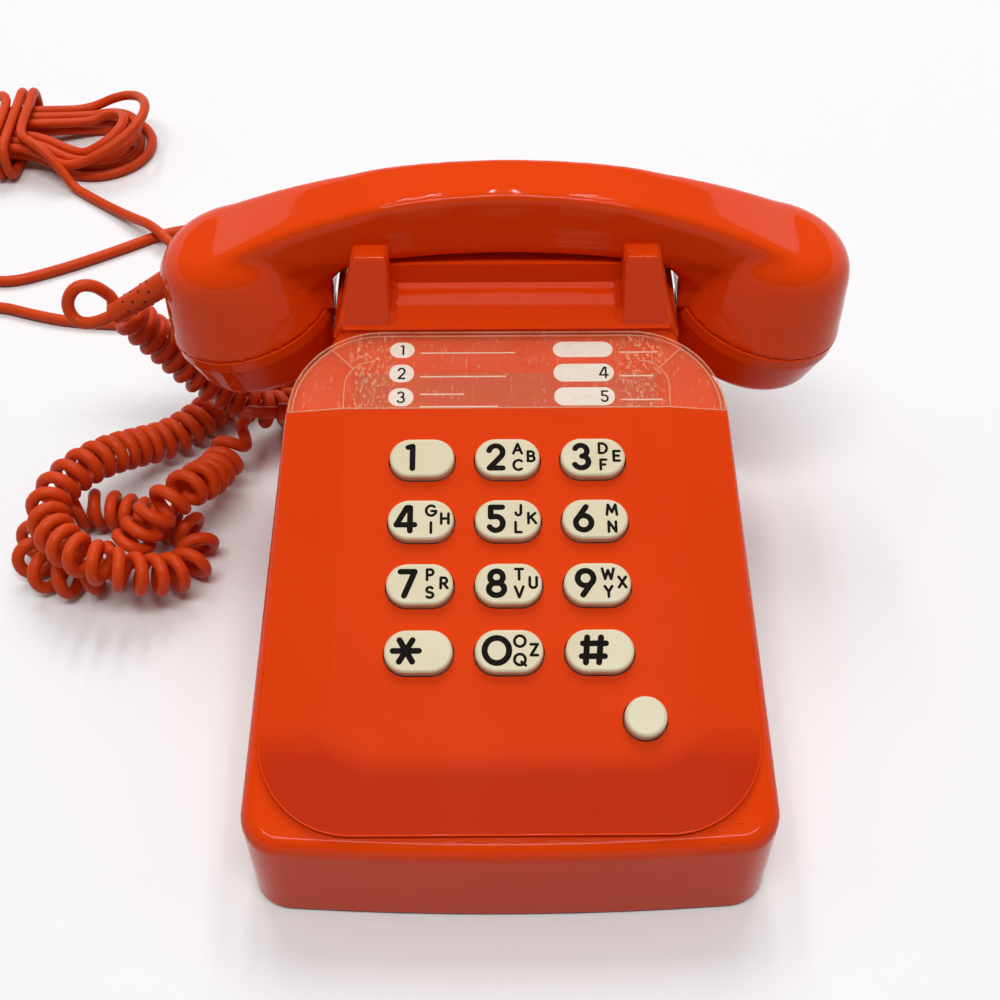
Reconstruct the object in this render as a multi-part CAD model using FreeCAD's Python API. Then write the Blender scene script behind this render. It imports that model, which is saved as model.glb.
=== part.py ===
import FreeCAD, Part
import math
import os

V = FreeCAD.Vector
os.makedirs("parts", exist_ok=True)

# Body: x to the right, y to the back, z up, the table at z = 0
body_length = 218.0
front_width = 152.4
rear_width = 134.0
front_bow = 3.0
corner_radius = 12.0
rear_corner_radius = 16.0
wall = 2.5
skirt_lift = 1.5
front_height = 35.8
slope_deg = 17.6
top_edge_radius = 5.0
shelf_height = 45.0
shelf_edge_radius = 3.0
shelf_front = 8.0

# Neck that carries the cradle between the two hanging cups
neck_width = 112.0
neck_height = 91.5
neck_rear_gap = 5.0
neck_rear_radius = 10.0
shoulder_y = 37.0
shoulder_radius = 30.0
notch_rise = 11.6
notch_radius = 7.0
crest_radius = 60.0

# Cradle forks
fork_inset = 3.5
fork_taper = 4.2
fork_width = 10.5
fork_height = 110.8
fork_top_depth = 5.4
fork_lean_deg = 20.8
fork_round = 2.0
deck_rise = 3.3
seat_gap = 0.4
saddle_gap = 2.3

# Front panel, measured along the slope from the middle of the key field
key_field_from_front = 87.6
panel_bottom = 82.0
panel_top = 78.4
panel_bottom_width = 143.0
panel_top_width = 136.8
panel_bottom_radius = 27.0
panel_top_radius = 29.0
panel_border = 2.0
plateau_rise = 2.5
plateau_width = 102.0
plateau_bottom = 58.8
plateau_top = 66.0
plateau_bottom_radius = 17.0
plateau_top_radius = 3.0
window_bottom = 49.0
window_wall = 1.4
window_gap = 0.15
card_thickness = 0.4
card_width = 96.0
card_length = 14.0
card_bed = 1.4
card_margin = 1.0

# Keys
key_pitch_x = 26.0
key_pitch_y = 20.5
key_length = 19.7
key_depth = 12.8
key_stand = 3.0
key_travel = 3.0
key_gap = 0.45
key_round = 1.0
key_flange = 1.2
key_flange_depth = 1.5
flange_gap = 0.3
stem_side = 5.0
stem_gap = 0.2
recall_x = 38.2
recall_v = -50.3
recall_diameter = 12.0
recall_stand = 3.6
recall_round = 1.2

# Keypad stack under the panel
key_window_x = 48.0
key_window_bottom = 62.0
key_window_top = 43.0
key_window_radius = 4.0
frame_plate = 2.0
frame_gap = 0.5
frame_rim = 2.0
frame_margin = 1.0
post_radius = 2.6
mat_thickness = 1.2
dome_radius = 4.0
dome_height = 0.8
board_thickness = 1.6

# Base plate, feet and screws
foot_thickness = 2.5
foot_radius = 8.0
foot_inset_x = 22.0
foot_inset_y = 24.0
plate_thickness = 1.5
plate_gap = 0.3
boss_radius = 4.5
boss_inset_x = 12.0
boss_inset_y = 13.0
screw_radius = 1.5
screw_gap = 0.1
screw_length = 12.0
screw_head_radius = 3.0
screw_head = 1.6
screw_slot = 0.8

# Handset
handset_y = 76.4
handset_top = 128.0
handle_top_radius = 212.0
handle_under = 104.2
handle_under_radius = 410.0
handle_width = 21.5
handle_flare_radius = 680.0
handle_edge = 2.5
handle_under_edge = 4.0
web_reach = 44.6
web_radius = 26.0
web_swing_deg = 65.0
bar_overrun = 13.4
bar_sections = 5
cup_neck_gap = 2.5
cup_z = 76.0
cup_radius = 28.8
cup_tilt_deg = 13.0
cup_height = 31.0
cup_top_radius = 21.6
cup_shoulder = 12.0
cup_bore_depth = 12.0
cup_wall = 3.0
seam_chamfer = 0.4
cap_height = 20.0
cap_rim = 4.0
cap_end_radius = 24.5
cap_round = 7.0
cap_wall = 2.6
cap_ring_height = 5.0
cap_ring_wall = 2.0
ring_gap = 0.15
capsule_radius = 20.0
capsule_height = 14.0
capsule_gap = 0.2
sound_hole = 1.2
sound_ring = 7.5
sound_holes = 6

# Strain relief sleeve at the left end of the handset
relief_drop_deg = 34.0
relief_out = 27.0
relief_forward = 2.4
relief_up = 12.0
relief_length = 24.0
relief_seat = 4.0
relief_root_radius = 4.2
relief_tip_radius = 3.6
relief_gap = 0.05

# Hook switch
plunger_width = 4.0
plunger_depth = 8.0
plunger_gap = 0.3
plunger_touch = 0.3
plunger_round = 1.5
hook_bar_bottom = 70.0
hook_bar_height = 6.0
hook_bar_depth = 10.0
hook_spring_coils = 5
hook_spring_length = 11.4
hook_spring_radius = 4.0
hook_wire = 1.2
hook_post_radius = 2.6
bracket_width = 18.0
bracket_depth = 12.0
bracket_wall = 2.0
switch_width = 14.0
switch_depth = 9.0
switch_height = 22.0

# Boards and ringer
main_board_width = 110.0
main_board_depth = 66.0
main_board_y = -58.0
main_board_stand = 6.0
stand_radius = 3.0
stand_inset = 6.0
transformer_side = 22.0
transformer_height = 15.0
transformer_x = 32.0
transformer_core = 6.0
transformer_wall = 1.0
terminal_length = 34.0
terminal_depth = 12.0
terminal_height = 9.0
terminal_x = -32.0
terminal_slots = 5
ringer_y = 34.0
gong_spacing = 58.0
gong_radius = 25.0
gong_height = 16.0
gong_wall = 1.4
gong_crown_radius = 16.0
gong_shoulder_radius = 23.3
gong_shoulder_height = 7.6
gong_post_radius = 3.0
gong_post_height = 34.0
gong_bolt_radius = 2.0
gong_bolt_head = 3.5
ringer_plate = 2.0
ringer_plate_depth = 34.0
coil_length = 20.0
coil_side = 18.0
coil_flange = 1.6
clapper_arm = 24.0
clapper_wire = 2.0
clapper_ball = 2.6
clapper_pivot_radius = 1.5
clapper_hub_radius = 3.5
pivot_gap = 0.05

# Glands and plug
gland_radius = 3.5
gland_length = 12.0
gland_flange_radius = 5.0
gland_flange = 1.5
gland_gap = 0.3
body_gland_y = 65.0
body_gland_z = 36.0
line_gland_x = -30.0
line_gland_z = 12.0
plug_width = 34.0
plug_length = 40.0
plug_height = 18.0
plug_tail_radius = 4.5
plug_tail = 12.0
plug_round = 2.5
plug_blade_width = 1.6
plug_blade_length = 9.0
plug_blade_height = 6.0
plug_blades = 4

# Curly cord between the handset and the body
curly_wire = 4.4
coil_radius = 5.5
coil_pitch = 5.4
coil_gap = 1.1
coil_ramp = 14.0
coil_bend = 1.2
coil_start = 40.0
coil_end = 24.0
coil_samples = 24
curly_lead = 6.6
cord_gap = 0.15
lead_step = 5.0
bend_limit = 0.6

# Line cord on the table and its hank
line_wire = 4.5
floor_gap = 0.05
crossing_gap = 0.2
arc_share = 0.45
hank_x = -232.0
hank_y = 283.0
hank_half_length = 67.0
hank_end_radius = 29.0
hank_end_reach_deg = 110.0
hank_end_points = 7
hank_waist = 19.5
hank_waist_x = 12.0
hank_step = 5.6
hank_layer = 5.3
hank_loops = 3
hank_lift = 5.6
wrap_turns = 2
wrap_pitch = 5.4
wrap_flat = 14.0
wrap_half = 27.0
wrap_height = 16.1
wrap_x = 6.0


# Values worked out from the sizes above
front_y = -body_length / 2
rear_y = body_length / 2
front_half = front_width / 2
rear_half = rear_width / 2
neck_half = neck_width / 2
neck_rear = rear_y - neck_rear_gap
slope_tan = math.tan(math.radians(slope_deg))
slope_cos = math.cos(math.radians(slope_deg))
slope_sin = math.sin(math.radians(slope_deg))
plate_bottom = foot_thickness
plate_top = plate_bottom + plate_thickness
key_y = front_y + key_field_from_front * slope_cos
key_z = front_height + key_field_from_front * slope_sin
plateau = panel_border + plateau_rise
fork_foot = neck_half - fork_inset
fork_outer = fork_foot - fork_taper
fork_inner = fork_outer - fork_width
plunger_x = neck_half - wall - plunger_gap - plunger_width / 2
cup_x = neck_half + cup_neck_gap + cup_radius * math.cos(math.radians(cup_tilt_deg))
web_x = cup_x - web_reach
bar_end = cup_x + bar_overrun
relief_root = V(-cup_x - relief_out, handset_y - relief_forward, cup_z + relief_up)

# Frames: the sloped panel, profiles seen from the side, profiles seen from the front
slope = FreeCAD.Placement(V(0, key_y, key_z), FreeCAD.Rotation(V(1, 0, 0), slope_deg))
side_view = FreeCAD.Placement(V(0, 0, 0), FreeCAD.Rotation(V(1, 1, 1), 120))
front_view = FreeCAD.Placement(V(0, 0, 0), FreeCAD.Rotation(V(1, 0, 0), 90))


def half_width(y):
    return front_half + (rear_half - front_half) * (y - front_y) / body_length


def slope_height(y):
    return front_height + (y - front_y) * slope_tan


def handle_arch_z(x):
    return handle_under - handle_under_radius + math.sqrt(handle_under_radius ** 2 - x ** 2)


def handle_under_z(x):
    """Height of the handle's underside, which turns down into the cups."""
    past = max(abs(x) - web_x, 0)
    return handle_arch_z(x) - web_radius + math.sqrt(web_radius ** 2 - past ** 2)


def handle_top_z(x):
    return handset_top - handle_top_radius + math.sqrt(handle_top_radius ** 2 - x ** 2)


def handle_half(x):
    return handle_width / 2 + handle_flare_radius - math.sqrt(handle_flare_radius ** 2 - x ** 2)


def rounded(corners):
    """Closed wire through corners (x, y, radius), lines joined by tangent arcs."""
    arcs = []
    for i, (x, y, radius) in enumerate(corners):
        here = V(x, y, 0)
        before = V(corners[i - 1][0], corners[i - 1][1], 0) - here
        after = V(corners[(i + 1) % len(corners)][0], corners[(i + 1) % len(corners)][1], 0) - here
        before.normalize()
        after.normalize()
        half = before.getAngle(after) / 2
        inward = before + after
        inward.normalize()
        middle = here + inward * (radius / math.sin(half) - radius)
        reach = radius / math.tan(half)
        arcs.append((here + before * reach, middle, here + after * reach, radius))
    edges = []
    for i, (start, middle, end, radius) in enumerate(arcs):
        if radius > 0:
            edges.append(Part.Arc(start, middle, end).toShape())
        following = arcs[(i + 1) % len(arcs)][0]
        if end.distanceToPoint(following) > 1e-6:
            edges.append(Part.makeLine(end, following))
    return Part.Wire(edges)


def prism(wire, low, high):
    face = Part.Face(wire)
    face.translate(V(0, 0, low))
    return face.extrude(V(0, 0, high - low))


def inset_wire(wire, distance):
    return Part.Face(wire).makeOffset2D(-distance).OuterWire


def across(wire, half):
    """Solid from a side profile (y, z), running from x = -half to +half."""
    solid = prism(wire, -half, half)
    solid.Placement = side_view
    return solid


def along(wire, front, back):
    """Solid from a front profile (x, z), running from y = front to y = back."""
    solid = prism(wire, -back, -front)
    solid.Placement = front_view
    return solid


def block(x0, x1, y0, y1, z0, z1):
    return Part.makeBox(x1 - x0, y1 - y0, z1 - z0, V(x0, y0, z0))


def rod(radius, base, height, direction=V(0, 0, 1)):
    return Part.makeCylinder(radius, height, base, direction)


def on_slope(solid):
    placed = solid.copy()
    placed.Placement = slope.multiply(placed.Placement)
    return placed


def mirrored(solid):
    return solid.mirror(V(0, 0, 0), V(1, 0, 0))


def pair(solid):
    return solid.fuse(mirrored(solid))


def pill(length, depth):
    x = length / 2
    y = depth / 2
    return rounded([(-x, -y, y - 1e-4), (x, -y, y - 1e-4), (x, y, y - 1e-4), (-x, y, y - 1e-4)])


def turned(outline):
    """Solid of revolution about z from lines through (radius, height)."""
    points = [V(r, 0, z) for r, z in outline]
    wire = Part.makePolygon(points + [points[0]])
    return Part.Face(wire).revolve(V(0, 0, 0), V(0, 0, 1), 360)


def top_edges(solid, lift=0.5):
    """Edges between upward faces and steep faces."""
    upward = []
    steep = []
    for face in solid.Faces:
        u0, u1, v0, v1 = face.ParameterRange
        normal = face.normalAt((u0 + u1) / 2, (v0 + v1) / 2)
        (upward if normal.z > lift else steep).append(face)
    steep_edges = [edge for face in steep for edge in face.Edges if face.BoundBox.ZMax > skirt_lift + 1]
    found = []
    for face in upward:
        for edge in face.Edges:
            if any(edge.isSame(other) for other in steep_edges):
                found.append(edge)
    return found


def save(name, solid):
    solid.exportStep("parts/" + name + ".step")
    print(name, len(solid.Solids), "solid(s)", round(solid.Volume), "mm3", solid.isValid())


# Housing

def bow_corner():
    """Front vertex whose large round just reaches the front of the body."""
    share = 0.8
    lead = front_bow * share / (2 - share)
    turn = math.atan((front_bow + lead) / front_half)
    return (0, front_y - lead, share * front_half / math.tan(turn))


def upper_outline():
    shoulder_x = half_width(shoulder_y)
    notch_y = shoulder_y + notch_rise
    corner = front_y + front_bow
    return rounded([
        bow_corner(),
        (half_width(corner), corner, corner_radius),
        (shoulder_x, shoulder_y, shoulder_radius),
        (neck_half, notch_y, notch_radius),
        (neck_half, neck_rear, neck_rear_radius),
        (-neck_half, neck_rear, neck_rear_radius),
        (-neck_half, notch_y, notch_radius),
        (-shoulder_x, shoulder_y, shoulder_radius),
        (-half_width(corner), corner, corner_radius),
    ])


def shelf_outline():
    return rounded([
        (half_width(shelf_front), shelf_front, 0),
        (rear_half, rear_y, rear_corner_radius),
        (-rear_half, rear_y, rear_corner_radius),
        (-half_width(shelf_front), shelf_front, 0),
    ])


def plate_outline():
    corner = front_y + front_bow
    return rounded([
        bow_corner(),
        (half_width(corner), corner, corner_radius),
        (rear_half, rear_y, rear_corner_radius),
        (-rear_half, rear_y, rear_corner_radius),
        (-half_width(corner), corner, corner_radius),
    ])


def side_profile(drop):
    """Side view of the sloped top and the level neck, lowered by the wall for the inside."""
    overrun = 20.0
    low = skirt_lift - (overrun if drop else 0)
    top = neck_height - drop
    crest_y = front_y + (neck_height - front_height) / slope_tan
    start = front_y - overrun
    return rounded([
        (start, low, 0),
        (neck_rear + overrun, low, 0),
        (neck_rear + overrun, top, 0),
        (crest_y, top, crest_radius),
        (start, slope_height(start) - drop, 0),
    ])


def outer_body():
    upper = prism(upper_outline(), skirt_lift, neck_height + 1)
    upper = upper.common(across(side_profile(0), front_width))
    upper = upper.makeFillet(top_edge_radius, top_edges(upper))
    shelf = prism(shelf_outline(), skirt_lift, shelf_height)
    edges = [e for e in top_edges(shelf) if e.BoundBox.YMax > shelf_front + 1]
    shelf = shelf.makeFillet(shelf_edge_radius, edges)
    return upper.fuse(shelf)


def inner_body():
    drop = wall / slope_cos
    below = skirt_lift - 1
    upper = prism(inset_wire(upper_outline(), wall), below, neck_height)
    upper = upper.common(across(side_profile(drop), front_width))
    shelf = prism(inset_wire(shelf_outline(), wall), below, shelf_height - wall)
    return upper.fuse(shelf)


def window_top_point():
    return slope.multVec(V(0, panel_top, panel_border))


def horn():
    """One leaning fork arm in front of the handle, on the right side."""
    root = neck_height - 3 * wall
    foot = window_top_point()
    lean = math.tan(math.radians(fork_lean_deg))
    back = handset_y - handle_half(fork_outer) - 2 * seat_gap
    top_front = back - fork_top_depth
    foot_y = top_front - (fork_height - root) * lean
    foot_y = max(foot_y, foot.y - (foot.z - root) * lean)
    side = rounded([
        (foot_y, root, 0),
        (back, root, 0),
        (back, fork_height, fork_round),
        (top_front, fork_height, fork_round),
    ])
    front = rounded([
        (fork_inner, root, 0),
        (fork_foot, root, 0),
        (fork_outer, fork_height, fork_round),
        (fork_inner, fork_height, fork_round),
    ])
    return across(side, fork_foot).common(along(front, foot_y - 1, back + 1))


def cradle_wall_front():
    return handset_y - handle_width / 2 - seat_gap


def cradle():
    front_y0 = cradle_wall_front()
    back_y0 = 2 * handset_y - front_y0
    root = neck_height - 3 * wall
    middle = handle_under - saddle_gap
    seat = along(rounded([
        (-fork_outer, root, 0),
        (fork_outer, root, 0),
        (fork_outer, handle_under_z(fork_outer) - seat_gap, 0),
        (fork_inner, min(middle, handle_under_z(fork_inner) - seat_gap), 0),
        (-fork_inner, min(middle, handle_under_z(fork_inner) - seat_gap), 0),
        (-fork_outer, handle_under_z(fork_outer) - seat_gap, 0),
    ]), front_y0, back_y0)
    hollow = block(-fork_outer + wall, fork_outer - wall, front_y0 + wall, back_y0 - wall,
                   root - wall, middle - 2 * wall)
    arm = pair(horn())
    turned_arm = arm.copy()
    turned_arm.rotate(V(0, handset_y, 0), V(0, 0, 1), 180)
    deck = on_slope(block(-fork_foot, fork_foot, panel_top + window_gap,
                          panel_top + notch_rise + notch_radius, -2 * wall, deck_rise))
    deck = deck.common(block(-fork_foot, fork_foot, 0, front_y0 + 1, 0, fork_height))
    return seat.fuse([arm, turned_arm, deck]), hollow


def boss_places():
    front = front_y + boss_inset_y
    back = rear_y - boss_inset_y
    return [
        (half_width(front) - boss_inset_x, front),
        (-half_width(front) + boss_inset_x, front),
        (half_width(back) - boss_inset_x, back),
        (-half_width(back) + boss_inset_x, back),
    ]


def body_gland_seat():
    return V(-half_width(body_gland_y), body_gland_y, body_gland_z)


def line_gland_seat():
    return V(line_gland_x, rear_y, line_gland_z)


def panel_room():
    """Space over the slope that the panel and its window take up."""
    outline = trapezoid(panel_bottom_width + 2 * window_gap, panel_top_width + 2 * window_gap,
                        panel_bottom + window_gap, panel_top + window_gap,
                        panel_bottom_radius + window_gap, panel_top_radius + window_gap)
    return on_slope(prism(outline, 0, plateau + key_stand))


def make_housing():
    bumps, hollow = cradle()
    solid = outer_body().fuse(bumps)
    solid = solid.cut(inner_body()).cut(hollow)
    for x, y in boss_places():
        top = min(slope_height(y), shelf_height) - wall / 2
        solid = solid.fuse(rod(boss_radius, V(x, y, plate_top), top - plate_top))
    for x, y in boss_places():
        solid = solid.cut(rod(screw_radius + screw_gap, V(x, y, plate_top - 1), screw_length + 1))
    window = prism(rounded([
        (-key_window_x, -key_window_bottom, key_window_radius),
        (key_window_x, -key_window_bottom, key_window_radius),
        (key_window_x, key_window_top, key_window_radius),
        (-key_window_x, key_window_top, key_window_radius),
    ]), -3 * wall, 1)
    solid = solid.cut(on_slope(window)).cut(panel_room())
    slot = block(plunger_x - plunger_width / 2 - plunger_gap, plunger_x + plunger_width / 2 + plunger_gap,
                 handset_y - plunger_depth / 2 - plunger_gap, handset_y + plunger_depth / 2 + plunger_gap,
                 neck_height - 3 * wall, fork_height)
    solid = solid.cut(slot).cut(mirrored(slot))
    solid = solid.cut(rod(gland_radius, body_gland_seat() + V(-1, 0, 0), 3 * wall, V(1, 0, 0)))
    solid = solid.cut(rod(gland_radius, line_gland_seat() + V(0, 1, 0), 3 * wall, V(0, -1, 0)))
    return solid.removeSplitter()


# Panel, window and card

def trapezoid(bottom_width, top_width, bottom, top, bottom_radius, top_radius):
    return rounded([
        (-bottom_width / 2, -bottom, bottom_radius),
        (bottom_width / 2, -bottom, bottom_radius),
        (top_width / 2, top, top_radius),
        (-top_width / 2, top, top_radius),
    ])


def pillow(shrink, drop):
    """Panel with its border and raised plateau; shrink and drop give the inside of a shell."""
    border = trapezoid(panel_bottom_width - 2 * shrink, panel_top_width - 2 * shrink,
                       panel_bottom - shrink, panel_top - shrink,
                       panel_bottom_radius - shrink, panel_top_radius - shrink)
    raised = trapezoid(plateau_width, plateau_width, plateau_bottom, plateau_top,
                       plateau_bottom_radius, plateau_top_radius)
    low = -drop
    plate = prism(border, low, panel_border - drop)
    border.translate(V(0, 0, panel_border - drop))
    raised.translate(V(0, 0, plateau - drop))
    return plate.fuse(Part.makeLoft([border, raised], True, True))


def key_places():
    names = ["key_1", "key_2", "key_3", "key_4", "key_5", "key_6",
             "key_7", "key_8", "key_9", "key_star", "key_0", "key_hash"]
    return [(name, (i % 3 - 1) * key_pitch_x, (1.5 - i // 3) * key_pitch_y) for i, name in enumerate(names)]


def make_panel():
    half = panel_bottom_width
    solid = pillow(0, 0).cut(block(-half, half, window_bottom, panel_top + 1, -1, plateau + 1))
    bed = block(-card_width / 2, card_width / 2, window_bottom - 1, window_bottom + card_length + 1,
                0, card_bed)
    solid = solid.fuse(bed)
    for name, x, y in key_places():
        hole = prism(pill(key_length + 2 * key_gap, key_depth + 2 * key_gap), -1, plateau + 1)
        hole.translate(V(x, y, 0))
        solid = solid.cut(hole)
    solid = solid.cut(rod(recall_diameter / 2 + key_gap, V(recall_x, recall_v, -1), plateau + 2))
    return on_slope(solid.removeSplitter())


def make_window():
    half = panel_bottom_width
    keep = block(-half, half, window_bottom + window_gap, panel_top + 1, -1, plateau + 1)
    lid = pillow(0, 0).common(keep)
    room = pillow(window_wall, window_wall).common(keep)
    return on_slope(lid.cut(room))


def make_card():
    half = card_width / 2 - card_margin
    card = block(-half, half, window_bottom + window_gap + card_margin, window_bottom + card_length,
                 card_bed, card_bed + card_thickness)
    return on_slope(card)


# Keys and keypad stack, in the slope frame

flange_top = -flange_gap
flange_bottom = flange_top - key_flange_depth
frame_top = flange_bottom - key_travel - frame_gap
frame_bottom = frame_top - frame_plate
stem_bottom = frame_bottom - frame_plate
dome_top = stem_bottom - key_travel - flange_gap
mat_top = dome_top - dome_height
board_top = mat_top - mat_thickness
board_bottom = board_top - board_thickness


def stem():
    side = stem_side / 2
    return block(-side, side, -side, side, stem_bottom, flange_bottom)


def make_key(x, y):
    top = plateau + key_stand
    cap = prism(pill(key_length, key_depth), flange_bottom, top)
    rim = [e for e in cap.Edges if e.BoundBox.ZMin > top - 0.01]
    cap = cap.makeFillet(key_round, rim)
    flange = prism(pill(key_length + 2 * key_flange, key_depth + 2 * key_flange), flange_bottom, flange_top)
    solid = cap.fuse([flange, stem()]).removeSplitter()
    solid.translate(V(x, y, 0))
    return on_slope(solid)


def make_recall():
    top = plateau + recall_stand
    cap = rod(recall_diameter / 2, V(0, 0, flange_bottom), top - flange_bottom)
    rim = [e for e in cap.Edges if e.BoundBox.ZMin > top - 0.01]
    cap = cap.makeFillet(recall_round, rim)
    flange = rod(recall_diameter / 2 + key_flange, V(0, 0, flange_bottom), key_flange_depth)
    solid = cap.fuse([flange, stem()]).removeSplitter()
    solid.translate(V(recall_x, recall_v, 0))
    return on_slope(solid)


def stack_outline(margin):
    x = key_window_x - margin
    return rounded([
        (-x, -key_window_bottom + margin, key_window_radius),
        (x, -key_window_bottom + margin, key_window_radius),
        (x, key_window_top - margin, key_window_radius),
        (-x, key_window_top - margin, key_window_radius),
    ])


def stem_places():
    return [(x, y) for name, x, y in key_places()] + [(recall_x, recall_v)]


def post_places():
    x = key_window_x - 2 * post_radius
    return [(-x, -key_window_bottom + 2 * post_radius), (-x, key_window_top - 2 * post_radius),
            (x, key_window_top - 2 * post_radius), (0, -key_window_bottom + 2 * post_radius)]


def make_keypad_frame():
    plate = prism(stack_outline(frame_margin), frame_bottom, frame_top)
    rim = prism(stack_outline(frame_margin), board_top, frame_bottom)
    rim = rim.cut(prism(stack_outline(frame_margin + frame_rim), board_top, frame_bottom))
    solid = plate.fuse(rim)
    side = stem_side / 2 + stem_gap
    for x, y in stem_places():
        solid = solid.cut(block(x - side, x + side, y - side, y + side, frame_bottom - 1, frame_top + 1))
    for x, y in post_places():
        solid = solid.fuse(rod(post_radius, V(x, y, frame_top), -frame_top))
    return on_slope(solid)


def make_keypad_mat():
    solid = prism(stack_outline(frame_margin + frame_rim + frame_gap), board_top, mat_top)
    for x, y in stem_places():
        dome = Part.makeCone(dome_radius, dome_radius - dome_height, dome_height, V(x, y, mat_top))
        solid = solid.fuse(dome)
    return on_slope(solid.removeSplitter())


def make_keypad_board():
    return on_slope(prism(stack_outline(frame_margin), board_bottom, board_top))


# Bottom

def make_base_plate():
    solid = prism(inset_wire(plate_outline(), wall + plate_gap), plate_bottom, plate_top)
    for x, y in boss_places():
        solid = solid.cut(rod(screw_radius + screw_gap, V(x, y, 0), plate_top + 1))
    for x, y in stand_places():
        solid = solid.fuse(rod(stand_radius, V(x, y, plate_top), main_board_stand))
    return solid


def foot_places():
    front = front_y + foot_inset_y
    back = rear_y - foot_inset_y
    return [(side * (half_width(y) - foot_inset_x), y) for y in (front, back) for side in (1, -1)]


def make_feet():
    edge = foot_thickness / 3
    feet = []
    for x, y in foot_places():
        foot = turned([(0, 0), (foot_radius - edge, 0), (foot_radius, edge), (foot_radius, foot_thickness),
                       (0, foot_thickness)])
        foot.translate(V(x, y, 0))
        feet.append(foot)
    return Part.makeCompound(feet)


def make_base_screws():
    screws = []
    for x, y in boss_places():
        shank = rod(screw_radius, V(x, y, plate_bottom - screw_head / 2), screw_length - 1)
        head = rod(screw_head_radius, V(x, y, plate_bottom - screw_head), screw_head)
        slot = block(x - screw_head_radius, x + screw_head_radius, y - screw_slot / 2, y + screw_slot / 2,
                     plate_bottom - screw_head, plate_bottom - screw_head / 2)
        screws.append(shank.fuse(head).cut(slot))
    return Part.makeCompound(screws)


# Inside of the body

def stand_places():
    x = main_board_width / 2 - stand_inset
    y = main_board_depth / 2 - stand_inset
    return [(sx * x, main_board_y + sy * y) for sx in (1, -1) for sy in (1, -1)]


board_z = plate_top + main_board_stand


def make_main_board():
    x = main_board_width / 2
    y = main_board_depth / 2
    return block(-x, x, main_board_y - y, main_board_y + y, board_z, board_z + board_thickness)


def make_transformer():
    half = transformer_side / 2
    low = board_z + board_thickness
    core = block(-half, half, -transformer_core, transformer_core, 0, transformer_height)
    bobbin = block(-transformer_core, transformer_core, -half, half, transformer_wall,
                   transformer_height - transformer_wall)
    solid = core.fuse(bobbin)
    solid.translate(V(transformer_x, main_board_y, low))
    return solid


def make_terminal_block():
    low = board_z + board_thickness
    solid = block(0, terminal_length, 0, terminal_depth, 0, terminal_height)
    step = terminal_length / terminal_slots
    for i in range(terminal_slots):
        hole = rod(step / 4, V(step * (i + 0.5), terminal_depth / 2, terminal_height / 2), terminal_height)
        solid = solid.cut(hole)
    solid.translate(V(terminal_x - terminal_length / 2, main_board_y - terminal_depth / 2, low))
    return solid


gong_bottom = plate_top + ringer_plate + gong_post_height - gong_height


def make_ringer_frame():
    low = plate_top
    top = low + ringer_plate
    x = gong_spacing / 2 + 2 * gong_post_radius
    solid = block(-x, x, ringer_y - ringer_plate_depth / 2, ringer_y + ringer_plate_depth / 2, low, top)
    tongue = coil_side / 2 + ringer_plate
    solid = solid.fuse(block(-tongue, tongue, coil_back() - coil_length, ringer_y, low, top))
    for side in (1, -1):
        solid = solid.fuse(rod(gong_post_radius, V(side * gong_spacing / 2, ringer_y, top), gong_post_height
                               - gong_wall))
    pivot_top = clapper_z() + clapper_hub_radius
    solid = solid.fuse(rod(clapper_pivot_radius, V(0, clapper_pivot_y(), top), pivot_top - top))
    seat_height = clapper_z() - clapper_hub_radius - top - seat_gap
    seat = rod(clapper_hub_radius, V(0, clapper_pivot_y(), top), seat_height)
    return solid.fuse(seat).removeSplitter()


def clapper_z():
    return gong_bottom + clapper_ball


def clapper_pivot_y():
    return ringer_y - clapper_arm


def coil_back():
    return clapper_pivot_y() - clapper_hub_radius - seat_gap


def make_clapper():
    z = clapper_z()
    y = clapper_pivot_y()
    hub = rod(clapper_hub_radius, V(0, y, z - clapper_hub_radius), 2 * clapper_hub_radius - seat_gap)
    arm = rod(clapper_wire / 2, V(0, y, z), clapper_arm, V(0, 1, 0))
    ball = Part.makeSphere(clapper_ball, V(0, ringer_y, z))
    hole = rod(clapper_pivot_radius + pivot_gap, V(0, y, 0), fork_height)
    return hub.fuse([arm, ball]).cut(hole)


def make_gong(side):
    crown = gong_height - gong_wall
    shell = turned([
        (gong_bolt_radius, crown), (gong_crown_radius - gong_wall / 2, crown),
        (gong_shoulder_radius - gong_wall, gong_shoulder_height - gong_wall / 2),
        (gong_radius - gong_wall, 0),
        (gong_radius, 0), (gong_shoulder_radius, gong_shoulder_height), (gong_crown_radius, gong_height),
        (gong_bolt_radius, gong_height),
    ])
    shell.translate(V(side * gong_spacing / 2, ringer_y, gong_bottom))
    return shell


def make_gong_screws():
    screws = []
    for side in (1, -1):
        base = V(side * gong_spacing / 2, ringer_y, gong_bottom + gong_height)
        head = rod(gong_bolt_head, base, gong_wall)
        shank = rod(gong_bolt_radius - screw_gap, base - V(0, 0, gong_wall), gong_wall)
        screws.append(head.fuse(shank))
    return Part.makeCompound(screws)


def make_ringer_coil():
    low = plate_top + ringer_plate
    half = coil_side / 2
    y1 = coil_back()
    y0 = y1 - coil_length
    ends = block(-half, half, y0, y0 + coil_flange, low, low + coil_side)
    ends = ends.fuse(block(-half, half, y1 - coil_flange, y1, low, low + coil_side))
    winding = rod(half - coil_flange / 2, V(0, y0, low + half), y1 - y0, V(0, 1, 0))
    return ends.fuse(winding)


# Hook switch

def plunger_top():
    return handle_under_z(plunger_x + plunger_width / 2 - plunger_round) - plunger_touch


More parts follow.
